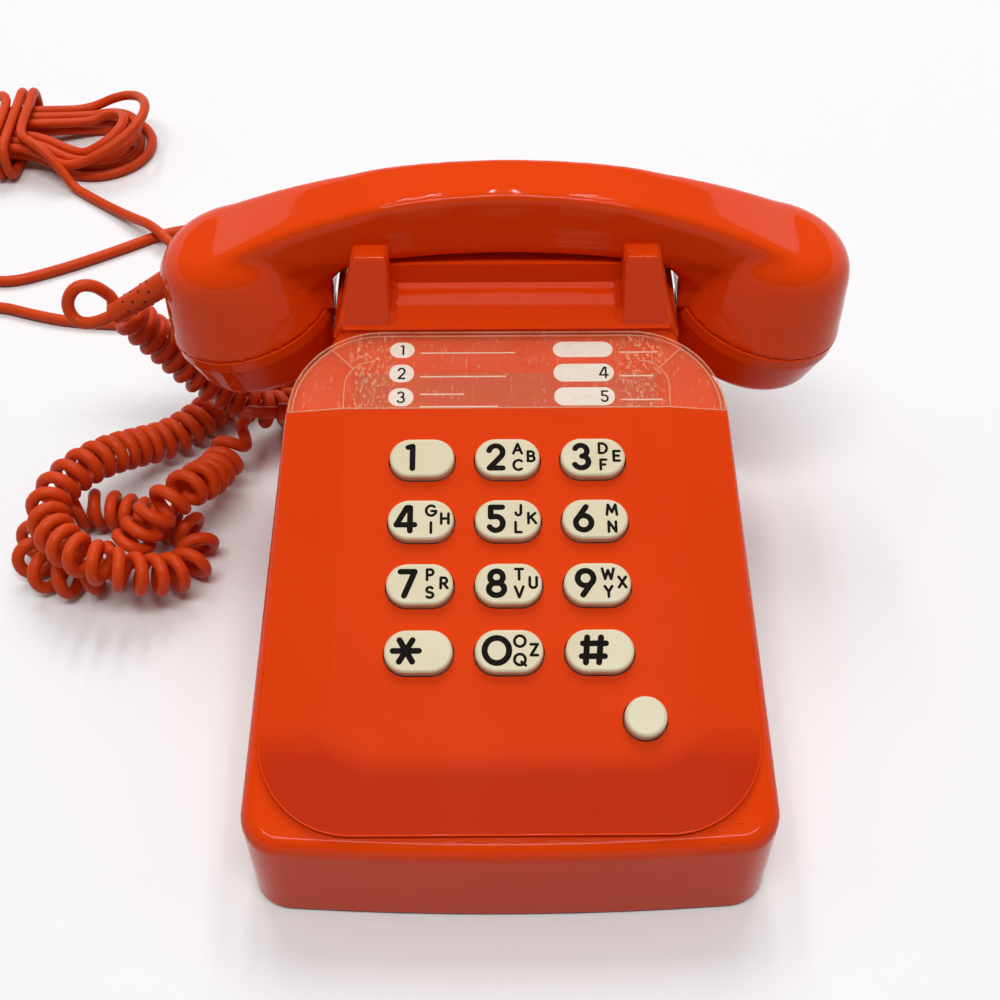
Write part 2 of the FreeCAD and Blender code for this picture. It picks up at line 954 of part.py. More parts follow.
def make_plunger():
    low = hook_bar_bottom + hook_bar_height
    solid = block(plunger_x - plunger_width / 2, plunger_x + plunger_width / 2, handset_y - plunger_depth / 2,
                  handset_y + plunger_depth / 2, low, plunger_top())
    rim = [e for e in solid.Edges if e.BoundBox.ZMin > plunger_top() - 0.01 and e.BoundBox.YLength < 0.01]
    return solid.makeFillet(plunger_round, rim)


def make_hook_bar():
    half = plunger_x + plunger_width / 2
    low = hook_bar_bottom
    bar = block(-half, half, handset_y - hook_bar_depth / 2, handset_y + hook_bar_depth / 2, low,
                low + hook_bar_height)
    pocket = rod(hook_post_radius + 2 * seat_gap, V(0, handset_y, low - 1), hook_bar_height)
    return bar.cut(pocket)


bracket_top = hook_bar_bottom - hook_spring_length


def make_hook_bracket():
    x = bracket_width / 2
    y = bracket_depth / 2
    solid = block(-x, x, handset_y - y, handset_y + y, plate_top, bracket_top)
    room = block(-x + bracket_wall, x - bracket_wall, handset_y - y - 1, handset_y + y - bracket_wall,
                 plate_top + bracket_wall, bracket_top - bracket_wall)
    post = rod(hook_post_radius, V(0, handset_y, bracket_top), hook_spring_length / 2)
    return solid.cut(room).fuse(post)


def make_hook_switch():
    x = switch_width / 2
    back = handset_y + bracket_depth / 2 - bracket_wall
    top = bracket_top - bracket_wall
    return block(-x, x, back - switch_depth, back, top - switch_height, top)


# Handset

handset_tilt = FreeCAD.Placement(V(cup_x, handset_y, cup_z), FreeCAD.Rotation(V(0, 1, 0), cup_tilt_deg))


def at_cup(solid):
    placed = solid.copy()
    placed.Placement = handset_tilt.multiply(placed.Placement)
    return placed


def bar_section(x):
    """Cross-section of the handle at x: a rectangle with rounded corners."""
    half = handle_half(x)
    top = handle_top_z(x)
    low = handle_arch_z(x)
    corners = [
        (handset_y - half, low, handle_under_edge), (handset_y + half, low, handle_under_edge),
        (handset_y + half, top, handle_edge), (handset_y - half, top, handle_edge),
    ]
    wire = rounded(corners)
    wire.Placement = FreeCAD.Placement(V(x, 0, 0), side_view.Rotation)
    return wire


def make_web():
    """Hollow curve between the handle's underside and the inner side of a cup."""
    top = handle_arch_z(web_x)
    swing = math.radians(web_swing_deg)
    foot = V(web_x + web_radius * math.sin(swing), 0, top - web_radius * (1 - math.cos(swing)))
    middle = V(web_x + web_radius * math.sin(swing / 2), 0, top - web_radius * (1 - math.cos(swing / 2)))
    start = V(web_x, 0, top)
    above = V(0, 0, handle_under_edge)
    edges = [
        Part.Arc(start, middle, foot).toShape(),
        Part.makeLine(foot, V(cup_x, 0, foot.z)),
        Part.makeLine(V(cup_x, 0, foot.z), V(cup_x, 0, start.z) + above),
        Part.makeLine(V(cup_x, 0, start.z) + above, start + above),
        Part.makeLine(start + above, start),
    ]
    half = handle_half(web_x) - seam_chamfer
    web = Part.Face(Part.Wire(edges)).extrude(V(0, 2 * half, 0))
    web.translate(V(0, handset_y - half, 0))
    return web


def make_bar():
    """Arched handle, drawn through cross-sections from inside one cup to inside the other."""
    step = bar_end / bar_sections
    places = [step * i for i in range(-bar_sections, bar_sections + 1)]
    bar = Part.makeLoft([bar_section(x) for x in places], True, False)
    return bar.fuse([make_web(), mirrored(make_web())])


def make_cup():
    bore = cup_radius - cup_wall
    solid = turned([
        (0, 0), (cup_radius - seam_chamfer, 0), (cup_radius, seam_chamfer), (cup_top_radius, cup_height),
        (0, cup_height),
    ])
    rim = [e for e in solid.Edges if e.BoundBox.ZMin > cup_height - 0.01]
    solid = solid.makeFillet(cup_shoulder, rim)
    return solid, rod(bore, V(0, 0, -1), cup_bore_depth + 1)


def relief_axis():
    angle = math.radians(relief_drop_deg)
    return V(-math.cos(angle), 0, -math.sin(angle))


def make_handle():
    cup, bore = make_cup()
    solid = make_bar().fuse([at_cup(cup), mirrored(at_cup(cup))])
    solid = solid.cut(at_cup(bore)).cut(mirrored(at_cup(bore)))
    axis = relief_axis()
    seat = relief_root - axis * relief_seat
    solid = solid.cut(rod(relief_root_radius + relief_gap, seat, 4 * relief_seat, axis))
    return solid.removeSplitter()


def make_cap(holes):
    floor = -cap_height
    bore = cup_radius - cup_wall
    solid = turned([
        (0, floor), (cap_end_radius, floor), (cup_radius, -cap_rim), (cup_radius, -seam_chamfer),
        (cup_radius - seam_chamfer, 0), (0, 0),
    ])
    rim = [e for e in solid.Edges if e.BoundBox.ZMax < floor + 0.01]
    solid = solid.makeFillet(cap_round, rim)
    ring = rod(bore - ring_gap, V(0, 0, 0), cap_ring_height)
    solid = solid.fuse(ring)
    solid = solid.cut(rod(bore - ring_gap - cap_ring_wall, V(0, 0, floor + cap_wall + cap_round / 2),
                          cap_height + cap_ring_height))
    seat_radius = bore - ring_gap - 2 * cap_ring_wall
    solid = solid.cut(Part.makeCone(cap_end_radius - cap_round, seat_radius, cap_round / 2,
                                    V(0, 0, floor + cap_wall)))
    for i in range(holes):
        turn = 2 * math.pi * i / holes
        place = V(sound_ring * math.cos(turn), sound_ring * math.sin(turn), floor - 1)
        solid = solid.cut(rod(sound_hole, place, cap_height))
    solid = solid.cut(rod(sound_hole, V(0, 0, floor - 1), cap_height))
    return at_cup(solid)


def make_capsule():
    low = -cap_height + cap_wall + cap_round / 2
    radius = cup_radius - cup_wall - ring_gap - cap_ring_wall - capsule_gap
    solid = turned([
        (0, low), (radius, low), (radius, low + capsule_height / 2),
        (capsule_radius, low + capsule_height / 2), (capsule_radius, low + capsule_height),
        (0, low + capsule_height),
    ])
    return at_cup(solid)


def make_handset_relief():
    axis = relief_axis()
    seat = relief_root - axis * relief_seat
    root = rod(relief_root_radius, seat, relief_seat, axis)
    sleeve = Part.makeCone(relief_root_radius, relief_tip_radius, relief_length, relief_root, axis)
    return root.fuse(sleeve).removeSplitter()


# Glands

def make_gland(seat, outward):
    tube = rod(gland_radius - screw_gap, seat - outward * (2 * wall), gland_length + 2 * wall, outward)
    inside = wall + gland_gap + gland_flange
    collar = rod(gland_flange_radius, seat - outward * inside, gland_flange, outward)
    return tube.fuse(collar).removeSplitter()


# Cords

def bezier_chain(route, steps):
    """Points on the smooth curve that the route's points pull, which runs through the middles of its legs."""
    points = [V(*p) for p in route]
    count = len(points)
    curve = [points[0]]
    for i in range(1, count - 1):
        start = points[0] if i == 1 else (points[i - 1] + points[i]) * 0.5
        end = points[-1] if i == count - 2 else (points[i] + points[i + 1]) * 0.5
        for k in range(1, steps + 1):
            t = k / steps
            curve.append(start * (1 - t) ** 2 + points[i] * (2 * t * (1 - t)) + end * t ** 2)
    return curve


def unit(vector):
    return V(vector).normalize()


def arc_or_line(start, pull, end):
    """Edge from start to end whose tangents meet at pull."""
    middle = (start + end) * 0.5
    rise = (pull - middle).Length
    half = (end - start).Length / 2
    if rise < 1e-5 * half:
        return Part.makeLine(start, end)
    sag = half * (math.hypot(half, rise) - half) / rise
    return Part.Arc(start, middle + (pull - middle) * (sag / rise), end).toShape()


def biarc(start, start_way, end, end_way):
    """Two tangent arcs from one place and direction to the next."""
    chord = end - start
    ways = start_way + end_way
    bend = 2 * (1 - start_way.dot(end_way))
    lead = chord.dot(ways)
    if bend < 1e-9:
        reach = chord.dot(chord) / (2 * lead)
    else:
        reach = (math.sqrt(lead ** 2 + bend * chord.dot(chord)) - lead) / bend
    first = start + start_way * reach
    second = end - end_way * reach
    joint = (first + second) * 0.5
    return [arc_or_line(start, first, joint), arc_or_line(joint, second, end)]


def tube(stations, wire):
    """Round tube through stations of (place, direction)."""
    edges = []
    for (start, start_way), (end, end_way) in zip(stations, stations[1:]):
        edges += biarc(start, start_way, end, end_way)
    spine = Part.Wire(edges)
    place, way = stations[0]
    section = Part.Wire(Part.makeCircle(wire / 2, place, way))
    solid = spine.makePipeShell([section], True, False)
    share = solid.Volume / (math.pi * wire ** 2 / 4 * spine.Length)
    print("tube length", round(spine.Length), "volume share", round(share, 4))
    return solid, edges


def self_gap(edges, wire, spacing=0.8, cell_side=6.0):
    """Least gap of a tube to itself, measured on points of its middle line."""
    points = []
    for edge in edges:
        for point in edge.discretize(max(3, int(edge.Length / spacing) + 1))[:-1]:
            points.append(point)
    along_line = [0.0]
    for a, b in zip(points, points[1:]):
        along_line.append(along_line[-1] + a.distanceToPoint(b))
    cells = {}
    least = 1e9
    apart = math.pi * wire
    for i, point in enumerate(points):
        cell = tuple(int(c // cell_side) for c in point)
        for dx in (-1, 0, 1):
            for dy in (-1, 0, 1):
                for dz in (-1, 0, 1):
                    for j in cells.get((cell[0] + dx, cell[1] + dy, cell[2] + dz), ()):
                        if along_line[i] - along_line[j] > apart:
                            least = min(least, point.distanceToPoint(points[j]))
        cells.setdefault(cell, []).append(i)
    return least - wire


def route_stations(route):
    """Places and directions at the ends of a route and at the middles of its legs."""
    points = [V(*p) for p in route]
    stations = [(points[0], unit(points[1] - points[0]))]
    for a, b in zip(points[1:-2], points[2:-1]):
        stations.append(((a + b) * 0.5, unit(b - a)))
    stations.append((points[-1], unit(points[-1] - points[-2])))
    return stations


def relief_tip():
    return relief_root + relief_axis() * (relief_length + cord_gap)


def body_gland_tip():
    return body_gland_seat() + V(-gland_length - cord_gap, 0, 0)


def curly_route():
    tip = relief_tip()
    lead = tip + relief_axis() * curly_lead
    end = body_gland_tip()
    before = end + V(-curly_lead, 0, 0)
    hand = [
        (-147.5, 75.3, 69.0), (-151, 78, 75), (-147, 80.5, 81.5), (-140.5, 83, 80), (-136, 85, 71.5),
        (-131, 86.5, 61), (-125, 87, 52), (-119, 87, 43), (-113, 87, 34.5), (-106, 87, 26.5),
        (-98, 87.5, 19.5), (-89.5, 89.5, 13), (-81.5, 95, 9), (-79.5, 104, 8.3), (-84.5, 112, 8.3),
        (-93.5, 113.5, 8.3), (-102, 108.5, 8.3), (-109, 100.5, 8.3), (-115.5, 92, 8.3), (-122, 84, 8.4),
        (-129, 76.5, 10), (-136.5, 68.5, 15), (-144, 59, 21), (-151.5, 48.5, 25), (-158, 38.5, 25),
        (-159.5, 28.5, 25), (-155, 18.5, 25), (-147.5, 10.5, 25), (-138, 5.5, 24.5), (-128, 4.5, 20),
        (-118.5, 8, 14), (-111, 14.5, 9.5), (-108, 24, 8.2), (-112, 33, 8.2), (-120.5, 37.5, 8.2),
        (-130.5, 39.5, 8.2), (-141, 43, 8.2), (-151.5, 44.5, 8.2), (-161, 40.5, 8.2), (-167.5, 31.5, 8.2),
        (-167, 21, 8.2), (-159.5, 13.5, 8.2), (-149.5, 11.5, 8.2), (-140, 15, 8.4), (-132.5, 20, 13),
        (-126, 24.5, 20.5), (-119, 29.5, 26), (-112, 37, 26.5), (-107.5, 46, 21.5), (-105.5, 55, 16),
        (-103, 64, 13.8), (-99.5, 71, 16.5), (-96.5, 74, 22.5), (-94.5, 73, 28.5), (-92, 68.5, 33.5),
    ]
    return [tuple(tip), tuple(lead)] + hand + [tuple(before), tuple(end)]


def curly_stations():
    """Half-turn stations of a helix round the route, with plain leads at both ends."""
    line = bezier_chain(curly_route(), coil_samples)
    gone = [0.0]
    for a, b in zip(line, line[1:]):
        gone.append(gone[-1] + a.distanceToPoint(b))
    whole = gone[-1]
    ways = [unit(line[min(i + 1, len(line) - 1)] - line[max(i - 1, 0)]) for i in range(len(line))]
    side = unit(ways[0].cross(V(0, 1, 0)))
    turn = 0.0
    wire_line = []
    turns = []
    for i, (place, way) in enumerate(zip(line, ways)):
        side = unit(side - way * side.dot(way))
        far = min(i + coil_samples // 2, len(line) - 1)
        near = max(i - coil_samples // 2, 0)
        bend = ways[near].getAngle(ways[far]) / max(gone[far] - gone[near], 1e-6)
        pitch = max(coil_pitch, (curly_wire + coil_gap) / (1 - min(coil_radius * bend, bend_limit)))
        wound = min(gone[i] - coil_start, whole - coil_end - gone[i])
        swell = min(max(wound / coil_ramp, 0), 1)
        swell = swell * swell * (3 - 2 * swell)
        reach = coil_radius * swell
        pitch = max(pitch, 2 * math.pi * math.sqrt(max(reach * (coil_bend * curly_wire - reach), 0)))
        if i and swell > 0:
            turn += (gone[i] - gone[i - 1]) / pitch
        angle = 2 * math.pi * turn
        offset = side * math.cos(angle) + way.cross(side) * math.sin(angle)
        wire_line.append(place + offset * reach)
        turns.append(turn)
    stations = []
    step = 0.5
    last_gone = -lead_step
    last_turn = 0.0
    for i, place in enumerate(wire_line):
        ahead = wire_line[min(i + 1, len(line) - 1)]
        behind = wire_line[max(i - 1, 0)]
        in_lead = turns[i] <= 0 or turns[i] >= turns[-1]
        due = gone[i] - last_gone >= lead_step if in_lead else turns[i] - last_turn >= step
        if due and i < len(line) - 2:
            stations.append((place, unit(ahead - behind)))
            last_gone = gone[i]
            last_turn = turns[i]
    stations.append((wire_line[-1], ways[-1]))
    stations[0] = (wire_line[0], ways[0])
    print("curls", round(turns[-1], 1))
    return stations


def make_curly_cord():
    solid, edges = tube(curly_stations(), curly_wire)
    print("curly cord least gap", round(self_gap(edges, curly_wire), 2))
    return solid


def line_route():
    """Line cord from the gland at the back, in loose curves on the table, to the hank."""
    tip = line_gland_seat() + V(0, gland_length + cord_gap, 0)
    low = line_wire / 2 + floor_gap
    return [
        tuple(tip), (line_gland_x, 129, line_gland_z), (-32, 139, 7), (-44, 150, low), (-72, 155, low),
        (-115, 153.5, low),
        (-152, 152, low), (-182, 154.4, low), (-200, 159.7, low), (-214, 165, low), (-232, 163, low),
        (-252, 157, low), (-272, 161, low), (-283, 175, low), (-277, 192, low), (-259, 198, low),
        (-240, 189, low), (-217, 179, low), (-193.6, 189.1, low), (-169.9, 203, low), (-153.9, 213.7, low),
        (-141, 218, low), (-122, 221, low), (-104, 214, low), (-95, 198, low), (-101, 182, low),
        (-116, 178, low), (-131, 188, low), (-144, 200.5, 4.6), (-155.6, 212.3, 8.4), (-167, 223, 4.6),
        (-181, 235, low), (-193, 244.5, low),
    ]


def plain_tube(route, wire):
    """Tube of straight runs joined by tangent arcs."""
    points = [V(*p) for p in route]
    edges = []
    start = points[0]
    radii = []
    for before, corner, after in zip(points, points[1:], points[2:]):
        reach = arc_share * min(before.distanceToPoint(corner), corner.distanceToPoint(after))
        first = corner + unit(before - corner) * reach
        last = corner + unit(after - corner) * reach
        edges.append(Part.makeLine(start, first))
        edges.append(arc_or_line(first, corner, last))
        half_turn = (corner - before).getAngle(after - corner) / 2
        radii.append(reach / math.tan(half_turn))
        start = last
    edges.append(Part.makeLine(start, points[-1]))
    spine = Part.Wire(edges)
    section = Part.Wire(Part.makeCircle(wire / 2, points[0], points[1] - points[0]))
    solid = spine.makePipeShell([section], True, False)
    share = solid.Volume / (math.pi * wire ** 2 / 4 * spine.Length)
    print("plain tube length", round(spine.Length), "least radius", round(min(radii), 1))
    print("plain tube volume share", round(share, 4))
    print("plain tube least gap", round(self_gap(edges, wire), 2))
    return solid


def hank_loop_point(index, inward):
    """Point of the dog-bone loop, counted from its back left, drawn in by some distance."""
    side = 2 * hank_end_points + 4
    index = index % side
    centre = hank_half_length - hank_end_radius
    spread = 2 * hank_end_reach_deg / (hank_end_points - 1)
    shrink = math.cos(math.radians(spread / 2))
    radius = (hank_end_radius - inward) / shrink
    left = -1 if index < side / 2 else 1
    place = index % (side // 2)
    if place < hank_end_points:
        angle = math.radians(place * spread - hank_end_reach_deg)
        return left * (centre + radius * math.cos(angle)), left * radius * math.sin(angle), 0
    waist = hank_waist - inward
    x = -hank_waist_x if place == hank_end_points else hank_waist_x
    return -left * x, left * waist, hank_lift


def hank_route():
    """Hank: the cord wraps the waist, winds inwards on top and outwards below, and ends in a plug."""
    low = line_wire / 2 + floor_gap
    high = low + wrap_height
    way_in = [(39, -38.5, low), (33, -33.75, low), (27, -29.5, 10), (20.5, -25, 16.5),
              (13, -20, high + crossing_gap)]
    ring = [
        (-wrap_flat, high), (wrap_flat, high), (wrap_half, high), (wrap_half, low),
        (wrap_flat, low), (-wrap_flat, low), (-wrap_half, low), (-wrap_half, high),
    ]
    wraps = []
    for i in range(wrap_turns * len(ring) + 2):
        y, z = ring[i % len(ring)]
        wraps.append((wrap_x - wrap_pitch * i / len(ring), y, z))
    last_x = wraps[-1][0]
    way_over = [(last_x - 3.5, 21, high), (last_x - 12, 25.5, high - 6)]
    count = 2 * hank_end_points + 4
    deepest = hank_step * hank_loops
    loops = []
    for i in range(count * hank_loops):
        x, y, rise = hank_loop_point(i, hank_step * i / count)
        loops.append((x, y, low + hank_layer + rise))
    for i in range(count * hank_loops + hank_end_points // 2 + 1):
        drop = min(i / (hank_end_points - 1), 1)
        inward = deepest - hank_step * max(i - hank_end_points, 0) / count
        x, y, rise = hank_loop_point(i, inward)
        loops.append((x, y, low + hank_layer * (1 - drop) + rise))
    plug_z = plug_height / 2
    way_out = [(-69, -15, low), (-72, -28, 3.5), (-76, -42, 7), (-78, -54, plug_z), (-78, -66, plug_z)]
    local = way_in + wraps + way_over + loops + way_out
    return [(hank_x + x, hank_y + y, z) for x, y, z in local]


def make_line_hank():
    stations = route_stations(hank_route())
    solid, edges = tube(stations, line_wire)
    print("hank least gap", round(self_gap(edges, line_wire), 2))
    return solid


def plug_end():
    return V(*hank_route()[-1])


def make_plug_body():
    end = plug_end()
    half = plug_width / 2
    back = end.y - plug_tail
    front = back - plug_length
    shell = block(end.x - half, end.x + half, front, back, end.z - plug_height / 2, end.z + plug_height / 2)
    upright = [edge for edge in shell.Edges if abs(edge.tangentAt(edge.FirstParameter).y) < 0.5]
    shell = shell.makeFillet(plug_round, upright)
    tail = rod(plug_tail_radius, V(end.x, back - 1, end.z), plug_tail + 1, V(0, 1, 0))
    return shell.fuse(tail).removeSplitter()


def make_plug_contacts():
    end = plug_end()
    front = end.y - plug_tail - plug_length
    spacing = (plug_width - 4 * plug_round) / (plug_blades - 1)
    blades = []
    for i in range(plug_blades):
        x = end.x + (i - (plug_blades - 1) / 2) * spacing
        half = plug_blade_width / 2
        low = end.z - plug_blade_height / 2
        tip = front - plug_blade_length
        blades.append(block(x - half, x + half, tip, front, low, low + plug_blade_height))
    return Part.makeCompound(blades)


def make_hook_spring():
    """Compression spring between the bracket and the hook bar."""
    gap = seat_gap / 2
    low = bracket_top + gap + hook_wire / 2
    rise = hook_spring_length - 2 * gap - hook_wire
    stations = []
    for i in range(2 * hook_spring_coils + 1):
        angle = math.pi * i
        place = V(hook_spring_radius * math.cos(angle), handset_y, low + rise * i / (2 * hook_spring_coils))
        climb = rise / (2 * math.pi * hook_spring_coils)
        stations.append((place, unit(V(0, hook_spring_radius * math.cos(angle), climb))))
    solid, edges = tube(stations, hook_wire)
    print("hook spring least gap", round(self_gap(edges, hook_wire), 2))
    return solid


save("housing", make_housing())
save("front_panel", make_panel())
save("label_window", make_window())
save("label_card", make_card())
for name, x, y in key_places():
    save(name, make_key(x, y))
save("recall_button", make_recall())
save("keypad_frame", make_keypad_frame())
save("keypad_mat", make_keypad_mat())
save("keypad_board", make_keypad_board())
save("base_plate", make_base_plate())
save("feet", make_feet())
save("base_screws", make_base_screws())
save("main_board", make_main_board())
save("speech_transformer", make_transformer())
save("terminal_block", make_terminal_block())
save("ringer_frame", make_ringer_frame())
save("ringer_coil", make_ringer_coil())
save("gong_right", make_gong(1))
save("gong_left", make_gong(-1))
save("gong_screws", make_gong_screws())
save("clapper", make_clapper())
save("hook_plunger_right", make_plunger())
save("hook_plunger_left", mirrored(make_plunger()))
save("hook_bar", make_hook_bar())
save("hook_bracket", make_hook_bracket())
save("hook_switch", make_hook_switch())
save("handset_handle", make_handle())
save("mouth_cap", make_cap(sound_holes))
save("ear_cap", mirrored(make_cap(sound_holes)))
save("transmitter_capsule", make_capsule())
save("receiver_capsule", mirrored(make_capsule()))
save("handset_relief", make_handset_relief())
save("body_gland", make_gland(body_gland_seat(), V(-1, 0, 0)))
save("line_gland", make_gland(line_gland_seat(), V(0, 1, 0)))
save("curly_cord", make_curly_cord())
save("line_cord", plain_tube(line_route(), line_wire))
save("line_hank", make_line_hank())
save("plug_body", make_plug_body())
save("plug_contacts", make_plug_contacts())
save("hook_spring", make_hook_spring())
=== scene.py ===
from math import atan, ceil, cos, degrees, pi, radians, sin, sqrt, tan

import bpy
import bmesh
from mathutils import Matrix, Vector


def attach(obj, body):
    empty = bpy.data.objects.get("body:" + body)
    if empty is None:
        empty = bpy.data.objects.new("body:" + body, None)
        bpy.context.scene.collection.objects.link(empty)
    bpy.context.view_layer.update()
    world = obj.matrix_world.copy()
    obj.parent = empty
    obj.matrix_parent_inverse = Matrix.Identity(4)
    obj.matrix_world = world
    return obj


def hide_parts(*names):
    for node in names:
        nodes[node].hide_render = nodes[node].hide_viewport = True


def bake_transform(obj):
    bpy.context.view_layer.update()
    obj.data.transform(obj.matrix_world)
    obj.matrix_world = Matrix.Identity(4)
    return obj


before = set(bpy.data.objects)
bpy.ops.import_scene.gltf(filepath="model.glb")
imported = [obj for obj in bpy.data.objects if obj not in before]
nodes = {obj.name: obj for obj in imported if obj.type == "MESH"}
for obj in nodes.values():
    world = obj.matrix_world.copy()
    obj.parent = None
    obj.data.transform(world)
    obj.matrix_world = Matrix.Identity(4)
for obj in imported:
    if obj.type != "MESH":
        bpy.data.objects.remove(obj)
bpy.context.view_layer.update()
scene = bpy.context.scene
mm = 0.001
print("frame loaded,", len(nodes), "nodes")


# A socket that takes part in sums, so node maths reads as an expression
class Wire:
    def __init__(self, tree, socket):
        self.tree = tree
        self.socket = socket

    def maths(self, operation, other, swapped=False):
        node = self.tree.nodes.new("ShaderNodeMath")
        node.operation = operation
        pair = (other, self) if swapped else (self, other)
        for slot, value in zip(node.inputs, pair):
            if isinstance(value, Wire):
                self.tree.links.new(value.socket, slot)
            else:
                slot.default_value = value
        return Wire(self.tree, node.outputs[0])

    def __add__(self, other):
        return self.maths("ADD", other)

    def __sub__(self, other):
        return self.maths("SUBTRACT", other)

    def __rsub__(self, other):
        return self.maths("SUBTRACT", other, True)

    def __mul__(self, other):
        return self.maths("MULTIPLY", other)

    def __truediv__(self, other):
        return self.maths("DIVIDE", other)

    def __gt__(self, other):
        return self.maths("GREATER_THAN", other)

    __radd__ = __add__
    __rmul__ = __mul__


# A node tree under construction, with one way to add any node
class Tree:
    prefix = "ShaderNode"

    def __init__(self, tree):
        self.tree = tree

    def node(self, kind, settings=None, output=0, **sockets):
        node = self.tree.nodes.new(self.prefix + kind)
        for key, value in (settings or {}).items():
            setattr(node, key, value)
        self.fill(node, sockets)
        return Wire(self.tree, node.outputs[output])

    def fill(self, node, sockets):
        for key, value in sockets.items():
            self.feed(node.inputs[key.replace("_", " ")], value)

    def feed(self, socket, value):
        if isinstance(value, Wire):
            self.tree.links.new(value.socket, socket)
        else:
            socket.default_value = value


# A material under construction
class Finish(Tree):
    def __init__(self, name, **constants):
        self.material = bpy.data.materials.new(name)
        self.material.use_nodes = True
        super().__init__(self.material.node_tree)
        self.shader = self.tree.nodes["Principled BSDF"]
        self.set(**constants)

    def set(self, **sockets):
        self.fill(self.shader, sockets)

    def place(self):
        return self.node("TexCoord", output="Object")

    def noise(self, scale, detail=3.0, stretch=None):
        where = self.place()
        if stretch:
            where = self.node("Mapping", Vector=where, Scale=stretch)
        return self.node("TexNoise", Vector=where, Scale=scale, Detail=detail)

    # Inputs 6 and 7 and output 2 are the Mix node's colours, which share their names with others
    def mixColour(self, factor, first, second):
        node = self.tree.nodes.new("ShaderNodeMix")
        node.data_type = "RGBA"
        self.feed(node.inputs[0], factor)
        for socket, tone in ((6, first), (7, second)):
            self.feed(node.inputs[socket], tone if isinstance(tone, Wire) else linear(*tone))
        return Wire(self.tree, node.outputs[2])

    def tint(self, factor, first, second):
        self.set(Base_Color=self.mixColour(factor, first, second))

    def bump(self, height, strength, distance):
        self.set(Normal=self.node("Bump", Height=height, Strength=strength, Distance=distance))


# A geometry tree under construction, which draws a mesh along or around a guide
class Drawing(Tree):
    prefix = "GeometryNode"

    def __init__(self, name, **inputs):
        super().__init__(bpy.data.node_groups.new(name, "GeometryNodeTree"))
        add = self.tree.interface.new_socket
        self.inputs = {}
        for label, kind in {"Geometry": "Geometry", **inputs}.items():
            socket = add(label, in_out="INPUT", socket_type="NodeSocket" + kind)
            self.inputs[label] = socket.identifier
        add("Geometry", in_out="OUTPUT", socket_type="NodeSocketGeometry")

    def input(self, label):
        return Wire(self.tree, self.tree.nodes.new("NodeGroupInput").outputs[label])

    def close(self, geometry, material):
        smooth = self.node("SetShadeSmooth", Geometry=geometry)
        dressed = self.node("SetMaterial", Geometry=smooth, Material=material)
        self.feed(self.tree.nodes.new("NodeGroupOutput").inputs[0], dressed)

    def mesh(self, name, guide, **values):
        modifier = guide.modifiers.new("drawn", "NODES")
        modifier.node_group = self.tree
        for label, value in values.items():
            modifier[self.inputs[label]] = value
        mesh = plainMesh(guide, name)
        bpy.data.objects.remove(guide)
        return mesh


def linear(red, green, blue):
    tone = [c / 255 for c in (red, green, blue)]
    return [c / 12.92 if c <= 0.04045 else ((c + 0.055) / 1.055) ** 2.4 for c in tone] + [1.0]


# Small mesh helpers
def addObject(name, data):
    piece = bpy.data.objects.new(name, data)
    scene.collection.objects.link(piece)
    return piece


def plainMesh(piece, name):
    bpy.context.view_layer.update()
    ready = piece.evaluated_get(bpy.context.evaluated_depsgraph_get())
    mesh = bpy.data.meshes.new_from_object(ready)
    mesh.name = name
    return mesh


def addPiece(mesh, body):
    piece = addObject(mesh.name, mesh)
    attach(piece, body)
    return piece


def meshFrom(name, shape):
    mesh = bpy.data.meshes.new(name)
    shape.to_mesh(mesh)
    shape.free()
    return mesh


# Faces between rings of vertices, with an end face on the first and the last ring
def loft(shape, rings, smooth=True, firstEnd=True):
    faces = []
    for ring, following in zip(rings, rings[1:]):
        for k in range(len(ring)):
            j = (k + 1) % len(ring)
            faces.append(shape.faces.new((ring[k], ring[j], following[j], following[k])))
            faces[-1].smooth = smooth
    if firstEnd:
        faces.append(shape.faces.new(list(reversed(rings[0]))))
    faces.append(shape.faces.new(rings[-1]))
    return faces


def directions(line):
    last = len(line) - 1
    return [(line[min(i + 1, last)] - line[max(i - 1, 0)]).normalized() for i in range(last + 1)]


def pathLength(points):
    return sum((b - a).length for a, b in zip(points, points[1:]))


def clamp(value):
    return min(max(value, 0), 1)


# Points on an arc, with its angles in degrees
def arc(x, y, radiusX, radiusY, start, end, steps):
    turns = [radians(start + (end - start) * k / steps) for k in range(steps + 1)]
    return [(x + radiusX * cos(t), y + radiusY * sin(t)) for t in turns]


def addCurve(name, kind, paths):
    data = bpy.data.curves.new(name, "CURVE")
    data.dimensions = "3D"
    for path in paths:
        spline = data.splines.new(kind)
        spline.points.add(len(path) - 1)
        for point, place in zip(spline.points, path):
            point.co = (*(c * mm for c in place), 1)
        if kind == "NURBS":
            spline.order_u = 3
            spline.use_endpoint_u = True
    return addObject(name, data)


def splinePoints(route, fineness):
    guide = addCurve("guide", "NURBS", [route])
    guide.data.resolution_u = fineness
    mesh = plainMesh(guide, "guide")
    points = [v.co.copy() for v in mesh.vertices]
    bpy.data.objects.remove(guide)
    bpy.data.meshes.remove(mesh)
    return points


def tubeMesh(name, points, radius, sides):
    shape = bmesh.new()
    ways = directions(points)
    side = ways[0].orthogonal().normalized()
    turns = [2 * pi * k / sides for k in range(sides)]
    rings = []
    for place, way in zip(points, ways):
        side = (side - way * side.dot(way)).normalized()
        other = way.cross(side)
        spokes = [side * cos(t) + other * sin(t) for t in turns]
        rings.append([shape.verts.new(place + spoke * radius) for spoke in spokes])
    loft(shape, rings)
    return meshFrom(name, shape)


# Camera
cameraSetup = {
    "place": (-3.2 * mm, -286.45 * mm, 379.53 * mm), "pitchDown": 48.05, "yaw": 0.18, "roll": 0.17,
    "focalPixels": 1369.63, "framePixels": 1000, "sensor": 36.0, "clipStart": 0.01,
}


